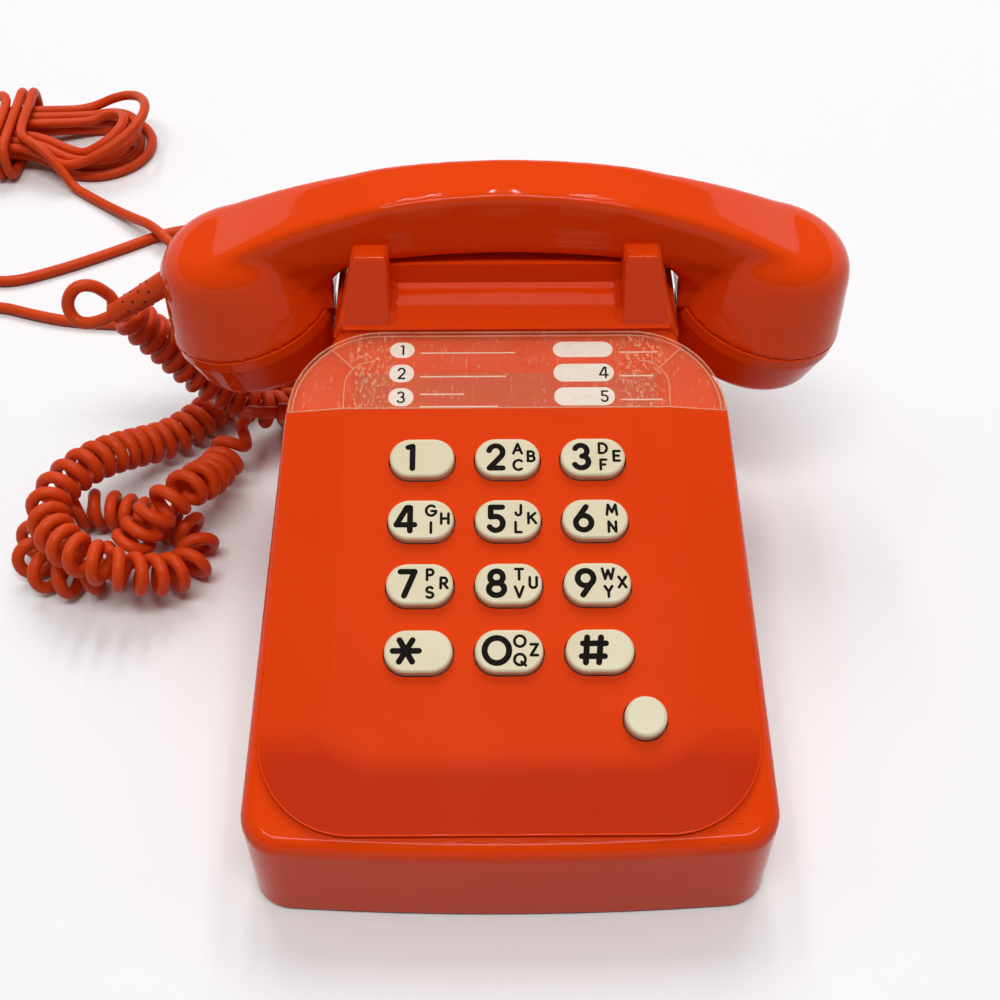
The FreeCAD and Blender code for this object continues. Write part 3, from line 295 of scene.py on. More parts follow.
def makeCamera(setup):
    pitch, yaw, roll = (radians(setup[k]) for k in ("pitchDown", "yaw", "roll"))
    ahead = Vector((sin(yaw) * cos(pitch), cos(yaw) * cos(pitch), -sin(pitch)))
    level = Vector((cos(yaw), -sin(yaw), 0))
    down = ahead.cross(level)
    right = level * cos(roll) + down * sin(roll)
    down = down * cos(roll) - level * sin(roll)
    data = bpy.data.cameras.new("photoCamera")
    data.sensor_width = setup["sensor"]
    data.lens = setup["sensor"] * setup["focalPixels"] / setup["framePixels"]
    data.clip_start = setup["clipStart"]
    camera = addObject("photoCamera", data)
    turn = Matrix((right, -down, -ahead)).transposed().to_4x4()
    camera.matrix_world = Matrix.Translation(setup["place"]) @ turn
    scene.camera = camera


makeCamera(cameraSetup)


# Curly cord, from the sleeve on the handset to the gland in the body's left side
curlyCord = {
    "wire": 4.4, "coilRadius": 5.5, "pitch": 5.4, "gap": 1.1, "ramp": 14.0, "bend": 1.2,
    "bendReach": 12, "mostCrowding": 0.6, "fineness": 24, "spacing": 1.2, "leadAtHandset": 40.0,
    "leadAtBody": 24.0, "sides": 12, "stepsPerTurn": 22,
    "stretchFrom": (-136 * mm, 86 * mm, 72.5 * mm), "stretchTo": (-136 * mm, 86 * mm, 39 * mm),
}
curlyRoute = [
    (-133.583, 74, 74.496), (-139.055, 74, 70.805), (-147.5, 75.3, 69.0), (-151, 78, 75),
    (-147, 80.5, 81.5), (-140.5, 83, 80), (-136, 85, 71.5), (-131, 86.5, 61), (-125, 87, 52),
    (-119, 87, 43), (-113, 87, 34.5), (-106, 87, 26.5), (-98, 87.5, 19.5), (-89.5, 89.5, 13),
    (-81.5, 95, 9), (-79.5, 104, 8.3), (-84.5, 112, 8.3), (-93.5, 113.5, 8.3), (-102, 108.5, 8.3),
    (-109, 100.5, 8.3), (-115.5, 92, 8.3), (-122, 84, 8.4), (-129, 76.5, 10), (-136.5, 68.5, 15),
    (-144, 59, 21), (-151.5, 48.5, 25), (-158, 38.5, 25), (-159.5, 28.5, 25), (-155, 18.5, 25),
    (-147.5, 10.5, 25), (-138, 5.5, 24.5), (-128, 4.5, 20), (-118.5, 8, 14), (-111, 14.5, 9.5),
    (-108, 24, 8.2), (-112, 33, 8.2), (-120.5, 37.5, 8.2), (-130.5, 39.5, 8.2), (-141, 43, 8.2),
    (-151.5, 44.5, 8.2), (-161, 40.5, 8.2), (-167.5, 31.5, 8.2), (-167, 21, 8.2),
    (-159.5, 13.5, 8.2), (-149.5, 11.5, 8.2), (-140, 15, 8.4), (-132.5, 20, 13), (-126, 24.5, 20.5),
    (-119, 29.5, 26), (-112, 37, 26.5), (-107.5, 46, 21.5), (-105.5, 55, 16), (-103, 64, 13.8),
    (-99.5, 71, 16.5), (-96.5, 74, 22.5), (-94.5, 73, 28.5), (-92, 68.5, 33.5), (-87.607, 65, 36),
    (-81.007, 65, 36),
]


def curlyLine(cord, route):
    line = splinePoints(route, cord["fineness"])
    gone = [0.0]
    for a, b in zip(line, line[1:]):
        gone.append(gone[-1] + (b - a).length / mm)
    last = len(line) - 1
    ways = directions(line)
    side = ways[0].cross(Vector((0, 1, 0))).normalized()
    turn = 0.0
    wound = []
    for i, (place, way) in enumerate(zip(line, ways)):
        side = (side - way * side.dot(way)).normalized()
        near, far = max(i - cord["bendReach"], 0), min(i + cord["bendReach"], last)
        bend = ways[near].angle(ways[far]) / max(gone[far] - gone[near], 1e-6)
        crowding = min(cord["coilRadius"] * bend, cord["mostCrowding"])
        pitch = max(cord["pitch"], (cord["wire"] + cord["gap"]) / (1 - crowding))
        inside = min(gone[i] - cord["leadAtHandset"], gone[last] - cord["leadAtBody"] - gone[i])
        swell = clamp(inside / cord["ramp"])
        reach = cord["coilRadius"] * swell * swell * (3 - 2 * swell)
        easy = 2 * pi * sqrt(max(reach * (cord["bend"] * cord["wire"] - reach), 0))
        if i and swell > 0:
            turn += (gone[i] - gone[i - 1]) / max(pitch, easy)
        wound.append((place, side.copy(), way.cross(side), reach * mm, turn))
    return wound


def evenHelix(wound, stepsPerTurn, spacing):
    points = []
    for (p0, a0, b0, r0, t0), (p1, a1, b1, r1, t1) in zip(wound, wound[1:]):
        steps = max(1, ceil((t1 - t0) * stepsPerTurn))
        for k in range(steps):
            u = k / steps
            turn = 2 * pi * (t0 + (t1 - t0) * u)
            spoke = a0.lerp(a1, u) * cos(turn) + b0.lerp(b1, u) * sin(turn)
            points.append(p0.lerp(p1, u) + spoke * (r0 + (r1 - r0) * u))
    points.append(wound[-1][0])
    kept = [points[0]]
    for place in points[1:-1]:
        if (place - kept[-1]).length >= spacing:
            kept.append(place)
    if (kept[-1] - points[-1]).length < spacing:
        kept.pop()
    kept.append(points[-1])
    return kept


def makeCurlyCord(cord, route):
    helix = evenHelix(curlyLine(cord, route), cord["stepsPerTurn"], cord["spacing"] * mm)
    mesh = tubeMesh("curlyCord", helix, cord["wire"] / 2 * mm, cord["sides"])
    piece = addObject("curlyCord", mesh)
    length = pathLength(helix)
    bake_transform(piece)
    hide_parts("curly_cord")
    print("curly cord", round(length, 3), "m of wire")
    return piece


curly = makeCurlyCord(curlyCord, curlyRoute)


# Line cord, from the gland at the back in loose curves to a tied hank and the plug
lineCord = {
    "wire": 4.5, "hankX": -232.0, "hankY": 283.0, "halfLength": 67.0, "endRadius": 29.0,
    "endReach": 110.0, "endPoints": 7, "waistPoints": 2, "waist": 19.5, "waistX": 12.0, "step": 5.6,
    "layer": 5.3, "loops": 3, "looseRise": [15.0, 4.0, 9.0], "lift": 5.6, "wrapTurns": 2,
    "wrapPitch": 5.4, "wrapFlat": 14.0, "wrapHalf": 27.0, "wrapHeight": 16.1, "wrapX": 6.0,
    "plugZ": 9.0, "fineness": 6, "roundness": 3, "clearance": 0.05,
}
low = lineCord["wire"] / 2 + lineCord["clearance"]
lineRoute = [
    (-30, 121.15, 12), (-30, 129, 12), (-32, 139, 7), (-44, 150, low), (-72, 155, low),
    (-115, 153.5, low), (-152, 152, low), (-182, 154.4, low), (-200, 159.7, low), (-214, 165, low),
    (-232, 163, low), (-252, 157, low), (-272, 161, low), (-283, 175, low), (-277, 192, low),
    (-259, 198, low), (-240, 189, low), (-217, 179, low), (-193.6, 189.1, low), (-169.9, 203, low),
    (-153.9, 213.7, low), (-141, 218, low), (-122, 221, low), (-104, 214, low), (-95, 198, low),
    (-101, 182, low), (-116, 178, low), (-131, 188, low), (-144, 200.5, 4.6), (-155.6, 212.3, 8.4),
    (-167, 223, 4.6), (-181, 235, low),
]


def loopCount(cord):
    return 2 * (cord["endPoints"] + cord["waistPoints"])


def hankLoopPoint(cord, index, inward):
    count, ends = loopCount(cord), cord["endPoints"]
    index = index % count
    centre = cord["halfLength"] - cord["endRadius"]
    spread = 2 * cord["endReach"] / (ends - 1)
    radius = (cord["endRadius"] - inward) / cos(radians(spread / 2))
    left = -1 if index < count / 2 else 1
    place = index % (count // 2)
    if place < ends:
        angle = radians(place * spread - cord["endReach"])
        return left * (centre + radius * cos(angle)), left * radius * sin(angle), 0
    x = -cord["waistX"] if place == ends else cord["waistX"]
    return -left * x, left * (cord["waist"] - inward), cord["lift"]


def hankRoute(cord):
    high = low + cord["wrapHeight"]
    flat, half = cord["wrapFlat"], cord["wrapHalf"]
    wayIn = [(39, -38.5, low), (33, -33.75, low), (27, -29.5, 10), (20.5, -25, 16.5),
             (13, -20, high + 0.2)]
    ring = [(-flat, high), (flat, high), (half, high), (half, low)]
    ring += [(-y, low + high - z) for y, z in ring]
    wraps = []
    for i in range(cord["wrapTurns"] * len(ring) + 2):
        wraps.append((cord["wrapX"] - cord["wrapPitch"] * i / len(ring), *ring[i % len(ring)]))
    lastX = wraps[-1][0]
    wayOver = [(lastX - 3.5, 21, high), (lastX - 12, 25.5, high - 6)]
    count, ends, rounds = loopCount(cord), cord["endPoints"], cord["loops"]
    loops = []
    for i in range(count * rounds):
        x, y, rise = hankLoopPoint(cord, i, cord["step"] * i / count)
        loose = sin(pi * min(i % (count // 2) / (ends - 1), 1))
        loops.append((x, y, low + cord["layer"] + rise + cord["looseRise"][i // count] * loose))
    for i in range(count * rounds + ends // 2 + 1):
        drop = min(i / (ends - 1), 1)
        x, y, rise = hankLoopPoint(cord, i, cord["step"] * (rounds - max(i - ends, 0) / count))
        loops.append((x, y, low + cord["layer"] * (1 - drop) + rise))
    plugZ = cord["plugZ"]
    wayOut = [(-69, -15, low), (-72, -28, 3.5), (-76, -42, 7), (-78, -54, plugZ), (-78, -66, plugZ)]
    whole = wayIn + wraps + wayOver + loops + wayOut
    return [(cord["hankX"] + x, cord["hankY"] + y, z) for x, y, z in whole]


def makeLineCord(cord, route):
    whole = route + hankRoute(cord)
    guide = addCurve("lineCordGuide", "NURBS", [whole])
    guide.data.resolution_u = cord["fineness"]
    guide.data.bevel_depth = cord["wire"] / 2 * mm
    guide.data.bevel_resolution = cord["roundness"]
    guide.data.use_fill_caps = True
    piece = addObject("lineCord", plainMesh(guide, "lineCord"))
    bpy.data.objects.remove(guide)
    points = splinePoints(whole, cord["fineness"])
    length = pathLength(points)
    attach(piece, "base")
    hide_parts("line_cord", "line_hank")
    print("line cord", round(length, 3), "m")
    return piece


lineLead = makeLineCord(lineCord, lineRoute)


# The sloped panel's own frame: across, up the slope, and out of it
slopeFrame = {"angle": 17.6, "frontY": -109.0, "frontZ": 35.8, "toKeys": 87.6}
slopeAngle = radians(slopeFrame["angle"])
slopeOrigin = Vector((0, slopeFrame["frontY"] + slopeFrame["toKeys"] * cos(slopeAngle),
                      slopeFrame["frontZ"] + slopeFrame["toKeys"] * sin(slopeAngle))) * mm
onSlope = Matrix.Translation(slopeOrigin) @ Matrix.Rotation(slopeAngle, 4, "X")


# Finishes
def orangeGloss():
    finish = Finish("orangeGloss", Specular_IOR_Level=0.13, Coat_Weight=0.03, Coat_Roughness=0.03)
    finish.tint(finish.noise(11, 4), (236, 70, 9), (226, 61, 4))
    smear = finish.noise(60, 5, (1, 2.5, 1))
    scratch = finish.noise(900, 2, (1, 0.12, 0.4)) > 0.74
    finish.set(Roughness=smear * 0.06 + scratch * 0.08 + 0.02)
    finish.bump(finish.noise(420, 2) - scratch * 0.3, 0.04, 0.0003)
    return finish.material


# The panel's front bevel gets a darker tone than its middle: painted shade for the light falling off on
# its slope
panelBevel = {"plateau": 4.4, "fall": 0.7, "frontV": -50.0, "frontOver": 12.0}


def orangeSatin(bevel):
    finish = Finish("orangeSatin", Specular_IOR_Level=0.04)
    cloud = finish.noise(14, 4)
    plateauTone = finish.mixColour(cloud, (227, 66, 8), (217, 58, 4))
    darkerTone = finish.mixColour(cloud, (202, 49, 5), (193, 44, 3))
    place = finish.place()
    y, z = (finish.node("SeparateXYZ", output=axis, Vector=place) for axis in "YZ")
    up = Vector((0, cos(slopeAngle), sin(slopeAngle)))
    out = Vector((0, -sin(slopeAngle), cos(slopeAngle)))
    along = y * up.y + z * up.z - slopeOrigin.dot(up)
    height = y * out.y + z * out.z - slopeOrigin.dot(out)
    # painted shade: the colour darkens where the panel sinks below its plateau near the front
    sunk = finish.node("Clamp", Value=(bevel["plateau"] * mm - height) / (bevel["fall"] * mm))
    nearFront = finish.node("Clamp", Value=(bevel["frontV"] * mm - along) / (bevel["frontOver"] * mm))
    finish.tint(sunk * nearFront, plateauTone, darkerTone)
    finish.set(Roughness=finish.noise(45, 4, (1, 0.5, 1)) * 0.22 + 0.32)
    finish.bump(finish.noise(2600, 2), 0.12, 0.0002)
    return finish.material


# Two tones mixed by a noise, a varied roughness and a fine grain
def mottled(name, tones, tint, rough=None, grain=None, **constants):
    finish = Finish(name, **constants)
    finish.tint(finish.noise(*tint), *tones)
    if rough:
        pattern, span, least = rough
        finish.set(Roughness=finish.noise(*pattern) * span + least)
    if grain:
        pattern, strength, distance = grain
        finish.bump(finish.noise(*pattern), strength, distance)
    return finish.material


def dullMould(name, tone, shade, rough):
    return mottled(name, (tone, shade), (140, 4), ((400, 3), 0.2, rough), ((1700, 3), 0.15, 0.0003),
                   Specular_IOR_Level=0.35)


def clearPlastic(name, haze, scuff, fold=None):
    finish = Finish(name, Base_Color=linear(252, 198, 156), IOR=1.49,
                    Coat_Weight=0.15, Coat_Roughness=0.05)
    cloud = finish.noise(70, 5)
    lines = finish.noise(900, 3, (1, 0.06, 1)) > 0.66
    specks = finish.noise(1100, 4) > 0.69
    cover = cloud * haze + lines * (scuff * 0.5) + specks * scuff + haze * 0.35
    if fold:     # painted glints: whiter flecks in a band at this distance from the middle, where the sheet is bent
        across = finish.node("SeparateXYZ", Vector=finish.place())
        off = across * across * (1 / fold ** 2) - 1.0
        near = 1.0 - off * off * 6.0
        cover = cover + (near > 0.0) * near * (finish.noise(1000, 4, (1, 0.4, 1)) > 0.6) * 0.4
    finish.set(Alpha=cover)
    finish.set(Roughness=cloud * 0.25 + lines * 0.2 + 0.08)
    finish.bump(finish.noise(300, 3), 0.04, 0.0003)
    return finish.material


def metal(name, tone, darkerTone, stretch, rough):
    finish = Finish(name)
    brush = finish.noise(900, 3, stretch)
    stain = finish.noise(60, 5)
    finish.tint(stain, tone, darkerTone)
    finish.set(Metallic=1.0 - stain * 0.15, Roughness=brush * 0.25 + rough)
    finish.bump(brush, 0.08, 0.0002)
    return finish.material


def winding():
    finish = Finish("winding", Metallic=0.7)
    turns = finish.node("TexWave", {"bands_direction": "Y"}, "Fac", Vector=finish.place(),
                        Scale=420.0, Distortion=0.3)
    finish.tint(turns, (120, 52, 20), (196, 110, 62))
    finish.set(Roughness=turns * 0.2 + 0.3)
    finish.bump(turns, 0.6, 0.0004)
    return finish.material


def circuitBoard():
    finish = Finish("circuitBoard")
    across = finish.node("TexBrick", {"offset": 0.37}, "Fac", Vector=finish.place(),
                         Scale=70.0, Mortar_Size=0.05)
    weave = finish.noise(1800, 2)
    laminate = finish.mixColour(weave, (34, 96, 56), (48, 118, 70))
    finish.tint(across > 0.5, laminate, (26, 78, 46))
    finish.set(Roughness=weave * 0.2 + 0.35)
    finish.bump(across, 0.3, 0.0002)
    return finish.material


def dress(material, *names):
    for name in names:
        for slot in nodes[name].material_slots:
            slot.material = material


glossy = orangeGloss()
sheath = mottled("cordSheath", ((226, 77, 24), (200, 60, 15)), (120, 5), ((350, 4), 0.25, 0.25),
                 ((1300, 3), 0.12, 0.0003), Specular_IOR_Level=0.16)
ink = mottled("inkBlack", ((14, 12, 10), (30, 26, 22)), (1400, 3), ((800, 2), 0.2, 0.5),
              Specular_IOR_Level=0.04)
ivory = mottled("ivory", ((231, 221, 192), (216, 202, 163)), (90, 4), ((240, 4), 0.2, 0.24),
                ((1500, 2), 0.06, 0.0002), Specular_IOR_Level=0.45)
labelWhite = mottled("labelWhite", ((246, 236, 222), (226, 204, 182)), (420, 5), None,
                     ((2200, 2), 0.08, 0.0001), Roughness=0.5)
fibre = (1500, 4, (1, 0.2, 1))
cardPaper = mottled("cardPaper", ((216, 74, 28), (200, 60, 18)), fibre, None, (fibre, 0.2, 0.0001),
                    Roughness=0.8)
keyNames = "1 2 3 4 5 6 7 8 9 star 0 hash".split()
dress(glossy, "housing", "mouth_cap", "ear_cap")
dress(orangeSatin(panelBevel), "front_panel")
dress(ivory, "recall_button", *("key_" + name for name in keyNames))
dress(clearPlastic("hazyWindow", 0.075, 0.3, 0.043), "label_window")
dress(clearPlastic("clearPlunger", 0.3, 0.2), "hook_plunger_right", "hook_plunger_left")
dress(cardPaper, "label_card")
dress(sheath, "handset_relief", "body_gland", "line_gland")
dress(metal("zincSteel", (196, 194, 186), (160, 156, 146), (1, 0.1, 1), 0.25),
      "base_plate", "base_screws", "ringer_frame", "gong_screws", "clapper", "hook_bracket",
      "hook_spring")
dress(metal("bellMetal", (206, 180, 116), (168, 140, 84), (1, 1, 0.2), 0.18),
      "gong_right", "gong_left")
dress(metal("contactBrass", (214, 182, 106), (176, 142, 78), (1, 0.1, 1), 0.2), "plug_contacts")
dress(metal("capsuleMetal", (198, 198, 194), (166, 166, 160), (1, 1, 0.1), 0.3),
      "transmitter_capsule", "receiver_capsule")
dress(metal("coreIron", (92, 88, 84), (66, 62, 58), (0.1, 1, 1), 0.45), "speech_transformer")
dress(winding(), "ringer_coil")
dress(circuitBoard(), "main_board", "keypad_board")
dress(dullMould("blackPlastic", (34, 34, 34), (46, 45, 44), 0.4),
      "keypad_frame", "terminal_block", "hook_switch", "hook_bar")
dress(dullMould("matRubber", (104, 104, 108), (88, 88, 92), 0.6), "keypad_mat")
dress(dullMould("footRubber", (36, 35, 34), (52, 50, 48), 0.65), "feet")
dress(dullMould("plugPlastic", (232, 226, 208), (216, 208, 186), 0.35), "plug_body")
curly.data.materials.append(sheath)
lineLead.data.materials.append(sheath)
print("finishes done")


# Handset shell: the handle and its cups flow into each other
handsetShell = {
    "voxel": 0.9 * mm, "merge": 0.002 * mm, "cupCentre": (86.56, 76.4, 76.0), "cupTilt": 13.0,
    "seamKeep": (2.0, 5.0), "boreRadius": 25.85, "boreMargin": 1.0, "boreSides": 64,
    "boreFloor": 6.0, "boreTop": 12.4, "sleeveRoot": (-113.56, 74.0, 88.0), "sleeveKeep": 7.0,
    "webProfile": [(44.0, 105.5), (50.0, 100.0), (57.0, 93.0), (57.3, 82.0), (62.0, 80.0),
                   (72.0, 96.0), (60.0, 108.0)],
    "webHalf": 9.0, "middle": 40.0, "middleFade": 12.0, "middleWeight": 0.2, "turns": 60,
    "smoothing": 0.5,
}


def handsetSoftness(spec, place):
    side = 1 if place.x > 0 else -1
    tilt = radians(spec["cupTilt"])
    centre = Vector(spec["cupCentre"])
    centre.x *= side
    axis = Vector((side * sin(tilt), 0, cos(tilt)))
    height = (place - centre).dot(axis)
    away = (place - centre - axis * height).length
    start, full = spec["seamKeep"]
    free = clamp((height - start) / (full - start))
    if away < spec["boreRadius"] + spec["boreMargin"] and height < spec["boreTop"]:
        free = 0
    if (place - Vector(spec["sleeveRoot"])).length < spec["sleeveKeep"]:
        free = 0
    blend = clamp((abs(place.x) - spec["middle"]) / spec["middleFade"])
    return free * (spec["middleWeight"] + (1 - spec["middleWeight"]) * blend)


def fillBore(spec, shape, side):
    tilt = Matrix.Rotation(radians(spec["cupTilt"]) * side, 4, "Y")
    centre = Vector((side * spec["cupCentre"][0], *spec["cupCentre"][1:])) * mm
    middle = Vector((0, 0, (spec["boreFloor"] + spec["boreTop"]) / 2)) * mm
    radius = spec["boreRadius"] * mm
    bmesh.ops.create_cone(
        shape, cap_ends=True, segments=spec["boreSides"], radius1=radius, radius2=radius,
        depth=(spec["boreTop"] - spec["boreFloor"]) * mm,
        matrix=Matrix.Translation(centre) @ tilt @ Matrix.Translation(middle))


def fillWeb(spec, shape, side):
    rows = []
    for y in (-spec["webHalf"], spec["webHalf"]):
        places = [Vector((side * x, spec["cupCentre"][1] + y, z)) * mm for x, z in spec["webProfile"]]
        rows.append([shape.verts.new(place) for place in places])
    bmesh.ops.recalc_face_normals(shape, faces=loft(shape, rows, smooth=False))


def makeHandsetShell(spec):
    shape = bmesh.new()
    shape.from_mesh(nodes["handset_handle"].data)
    bmesh.ops.remove_doubles(shape, verts=shape.verts, dist=spec["merge"])
    for side in (1, -1):
        fillBore(spec, shape, side)
        fillWeb(spec, shape, side)
    piece = addObject("handsetShell", meshFrom("handleCopy", shape))
    remesh = piece.modifiers.new("even", "REMESH")
    remesh.mode = "VOXEL"
    remesh.voxel_size = spec["voxel"]
    piece.data = plainMesh(piece, "handsetShell")
    piece.modifiers.clear()
    group = piece.vertex_groups.new(name="softness")
    for vertex in piece.data.vertices:
        group.add([vertex.index], handsetSoftness(spec, vertex.co / mm), "REPLACE")
    smooth = piece.modifiers.new("flow", "SMOOTH")
    smooth.factor = spec["smoothing"]
    smooth.iterations = spec["turns"]
    smooth.vertex_group = group.name
    piece.data = plainMesh(piece, "handsetShell")
    piece.modifiers.clear()
    piece.vertex_groups.clear()
    piece.data.shade_smooth()
    piece.data.materials.append(glossy)
    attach(piece, "handset")
    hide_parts("handset_handle")
    print("handset shell", len(piece.data.polygons), "faces")


makeHandsetShell(handsetShell)


# Printed strokes: curves drawn as flat round-ended strokes by a node tree
def strokeDrawing(sides=12, rings=8):
    draw = Drawing("printedStroke", Width="Float", Scale="Vector", Ink="Material")
    line = draw.input("Geometry")
    radius = draw.input("Width") / 2
    profile = draw.node("CurvePrimitiveCircle", Resolution=sides, Radius=radius)
    bar = draw.node("CurveToMesh", Curve=line, Profile_Curve=profile, Fill_Caps=True)
    ball = draw.node("MeshUVSphere", Segments=sides, Rings=rings, Radius=radius)
    tips = draw.node("CurveEndpointSelection", Start_Size=1, End_Size=1)
    caps = draw.node("InstanceOnPoints", Points=line, Selection=tips, Instance=ball)
    both = draw.node("JoinGeometry", Geometry=bar)
    draw.feed(both.socket.node.inputs[0], caps)
    real = draw.node("RealizeInstances", Geometry=both)
    pressed = draw.node("Transform", Geometry=real, Scale=draw.input("Scale"))
    draw.close(pressed, draw.input("Ink"))
    return draw


strokes = strokeDrawing()


def strokeMesh(name, paths, width, thickness, material):
    guide = addCurve(name + "Guide", "POLY", paths)
    scale = (1.0, 1.0, thickness / width)
    return strokes.mesh(name, guide, Width=width * mm, Scale=scale, Ink=material)


def joinMeshes(name, meshes):
    shape = bmesh.new()
    for mesh in meshes:
        shape.from_mesh(mesh)
    return meshFrom(name, shape)


# Stroke alphabet: a list is a chain of straight strokes, a tuple an arc
# (centre x, centre y, radius x, radius y, from degrees, to degrees), one unit tall
glyphs = {
    "0": [(0.47, 0.5, 0.47, 0.5, 90, 450)],
    "1": [[(0, 0.95), (0.18, 1), (0.18, 0)]],
    "2": [(0.28, 0.71, 0.28, 0.29, 165, -40), [(0.49, 0.52), (0.02, 0), (0.56, 0)]],
    "3": [(0.27, 0.75, 0.25, 0.25, 155, -80), (0.28, 0.26, 0.29, 0.27, 80, -155)],
    "4": [[(0.54, 0), (0.54, 1), (0.4, 1), (0, 0.26), (0.72, 0.26)]],
    "5": [[(0.54, 1), (0.08, 1), (0.08, 0.58), (0.3, 0.6)], (0.28, 0.3, 0.28, 0.3, 85, -150)],
    "6": [[(0.42, 1), (0.06, 0.47)], (0.31, 0.31, 0.31, 0.31, 150, 510)],
    "7": [[(0, 1), (0.56, 1), (0.16, 0)]],
    "8": [(0.3, 0.75, 0.25, 0.25, 90, 450), (0.3, 0.26, 0.3, 0.26, 90, 450)],
    "9": [[(0.2, 0), (0.56, 0.53)], (0.31, 0.69, 0.31, 0.31, -30, 330)],
    "*": [[(0, 0.5), (1, 0.5)], [(0.25, 0.07), (0.75, 0.93)], [(0.25, 0.93), (0.75, 0.07)]],
    "#": [[(0.15, 0), (0.23, 1)], [(0.65, 0), (0.76, 1)], [(0, 0.25), (0.88, 0.25)],
          [(0.06, 0.76), (0.94, 0.76)]],
    "A": [[(0, 0), (0.4, 1), (0.8, 0)], [(0.14, 0.33), (0.66, 0.33)]],
    "B": [[(0.3, 0), (0, 0), (0, 1), (0.3, 1)], [(0, 0.53), (0.32, 0.53)],
          (0.3, 0.76, 0.24, 0.24, 90, -90), (0.32, 0.26, 0.28, 0.26, 90, -90)],
    "C": [(0.46, 0.5, 0.46, 0.5, 50, 310)],
    "D": [[(0.25, 0), (0, 0), (0, 1), (0.25, 1)], (0.25, 0.5, 0.47, 0.5, 90, -90)],
    "E": [[(0.55, 1), (0, 1), (0, 0), (0.55, 0)], [(0, 0.52), (0.46, 0.52)]],
    "F": [[(0.52, 1), (0, 1), (0, 0)], [(0, 0.5), (0.42, 0.5)]],
    "G": [(0.46, 0.5, 0.46, 0.5, 50, 355), [(0.91, 0.46), (0.5, 0.46)]],
    "H": [[(0, 0), (0, 1)], [(0.66, 0), (0.66, 1)], [(0, 0.5), (0.66, 0.5)]],
    "I": [[(0, 0), (0, 1)]],
    "J": [[(0.48, 1), (0.48, 0.25)], (0.24, 0.25, 0.24, 0.25, 0, -180)],
    "K": [[(0, 0), (0, 1)], [(0.62, 1), (0, 0.42)], [(0.22, 0.62), (0.68, 0)]],
    "L": [[(0, 1), (0, 0), (0.52, 0)]],
    "M": [[(0, 0), (0.12, 1), (0.46, 0.25), (0.8, 1), (0.92, 0)]],
    "N": [[(0, 0), (0, 1), (0.66, 0), (0.66, 1)]],
    "O": [(0.48, 0.5, 0.48, 0.5, 90, 450)],
    "P": [[(0, 0), (0, 1), (0.28, 1)], [(0, 0.46), (0.28, 0.46)],
          (0.28, 0.73, 0.27, 0.27, 90, -90)],
    "Q": [(0.48, 0.5, 0.48, 0.5, 90, 450), [(0.62, 0.28), (0.98, -0.04)]],
    "R": [[(0, 0), (0, 1), (0.28, 1)], [(0, 0.46), (0.28, 0.46)],
          (0.28, 0.73, 0.27, 0.27, 90, -90), [(0.28, 0.46), (0.6, 0)]],
    "S": [(0.3, 0.75, 0.27, 0.25, 35, 270), (0.3, 0.25, 0.3, 0.25, 90, -145)],
    "T": [[(0, 1), (0.66, 1)], [(0.33, 1), (0.33, 0)]],
    "U": [[(0, 1), (0, 0.31)], (0.31, 0.31, 0.31, 0.31, 180, 360), [(0.62, 0.31), (0.62, 1)]],
    "V": [[(0, 1), (0.37, 0), (0.74, 1)]],
    "W": [[(0, 1), (0.25, 0), (0.52, 0.85), (0.79, 0), (1.04, 1)]],
    "X": [[(0, 0), (0.64, 1)], [(0, 1), (0.64, 0)]],
    "Y": [[(0, 1), (0.33, 0.48), (0.66, 1)], [(0.33, 0.48), (0.33, 0)]],
    "Z": [[(0, 1), (0.6, 1), (0, 0), (0.6, 0)]],
}


def glyphPaths(mark, degreesPerStep=15, fewestSteps=4):
    paths = []
    for stroke in glyphs[mark]:
        if isinstance(stroke, list):
            paths += [[a, b] for a, b in zip(stroke, stroke[1:])]
        else:
            swing = abs(stroke[5] - stroke[4])
            paths.append(arc(*stroke, max(fewestSteps, round(swing / degreesPerStep))))
    return paths


def placedGlyph(mark, x, y, height):
    paths = glyphPaths(mark)
    wide = [place[0] for path in paths for place in path]
    middle = (min(wide) + max(wide)) / 2
    return [[(x + (a - middle) * height, y + (b - 0.5) * height, 0) for a, b in path] for path in paths]


# Key print: a bold figure at the left of each key and small letters at its right
keyPrint = {
    "pitchX": 26.0, "pitchV": 20.5, "columns": 3, "middleColumn": 1, "middleRow": 1.5, "top": 7.5,
    "digitHeight": 7.5, "digitStroke": 1.78, "digitX": -3.5, "letterHeight": 3.25,
    "letterStroke": 0.86, "letterPlaces": [(3.1, 2.75), (7.2, 0.15), (3.1, -2.75)],
    "thickness": 0.16,
    "marks": ["1", "2ABC", "3DEF", "4GHI", "5JKL", "6M N", "7PRS", "8TUV", "9WXY", "*", "0OZQ", "#"],
    "shifts": {"4": (-1.0, 0), "6": (0, 1.9), "hash": (1.7, 0)},
}


def makeKeyPrint(spec, index, name):
    marks = spec["marks"][index]
    digitShift, letterShift = spec["shifts"].get(name, (0, 0))
    digit = placedGlyph(marks[0], spec["digitX"] + digitShift, 0, spec["digitHeight"])
    thickness = spec["thickness"]
    parts = [strokeMesh("digit", digit, spec["digitStroke"], thickness, ink)]
    letters = []
    for mark, (x, y) in zip(marks[1:], spec["letterPlaces"]):
        if mark != " ":
            letters += placedGlyph(mark, x + letterShift, y, spec["letterHeight"])
    if letters:
        parts.append(strokeMesh("letters", letters, spec["letterStroke"], thickness, ink))
    mesh = joinMeshes("keyPrint_" + name, parts)
    mesh.materials.append(ink)
    row, column = divmod(index, spec["columns"])
    across = (column - spec["middleColumn"]) * spec["pitchX"] * mm
    up = (spec["middleRow"] - row) * spec["pitchV"] * mm
    mesh.transform(onSlope @ Matrix.Translation((across, up, spec["top"] * mm)))
    addPiece(mesh, "key_" + name + "_body")


for index, name in enumerate(keyNames):
    makeKeyPrint(keyPrint, index, name)
print("key print done")
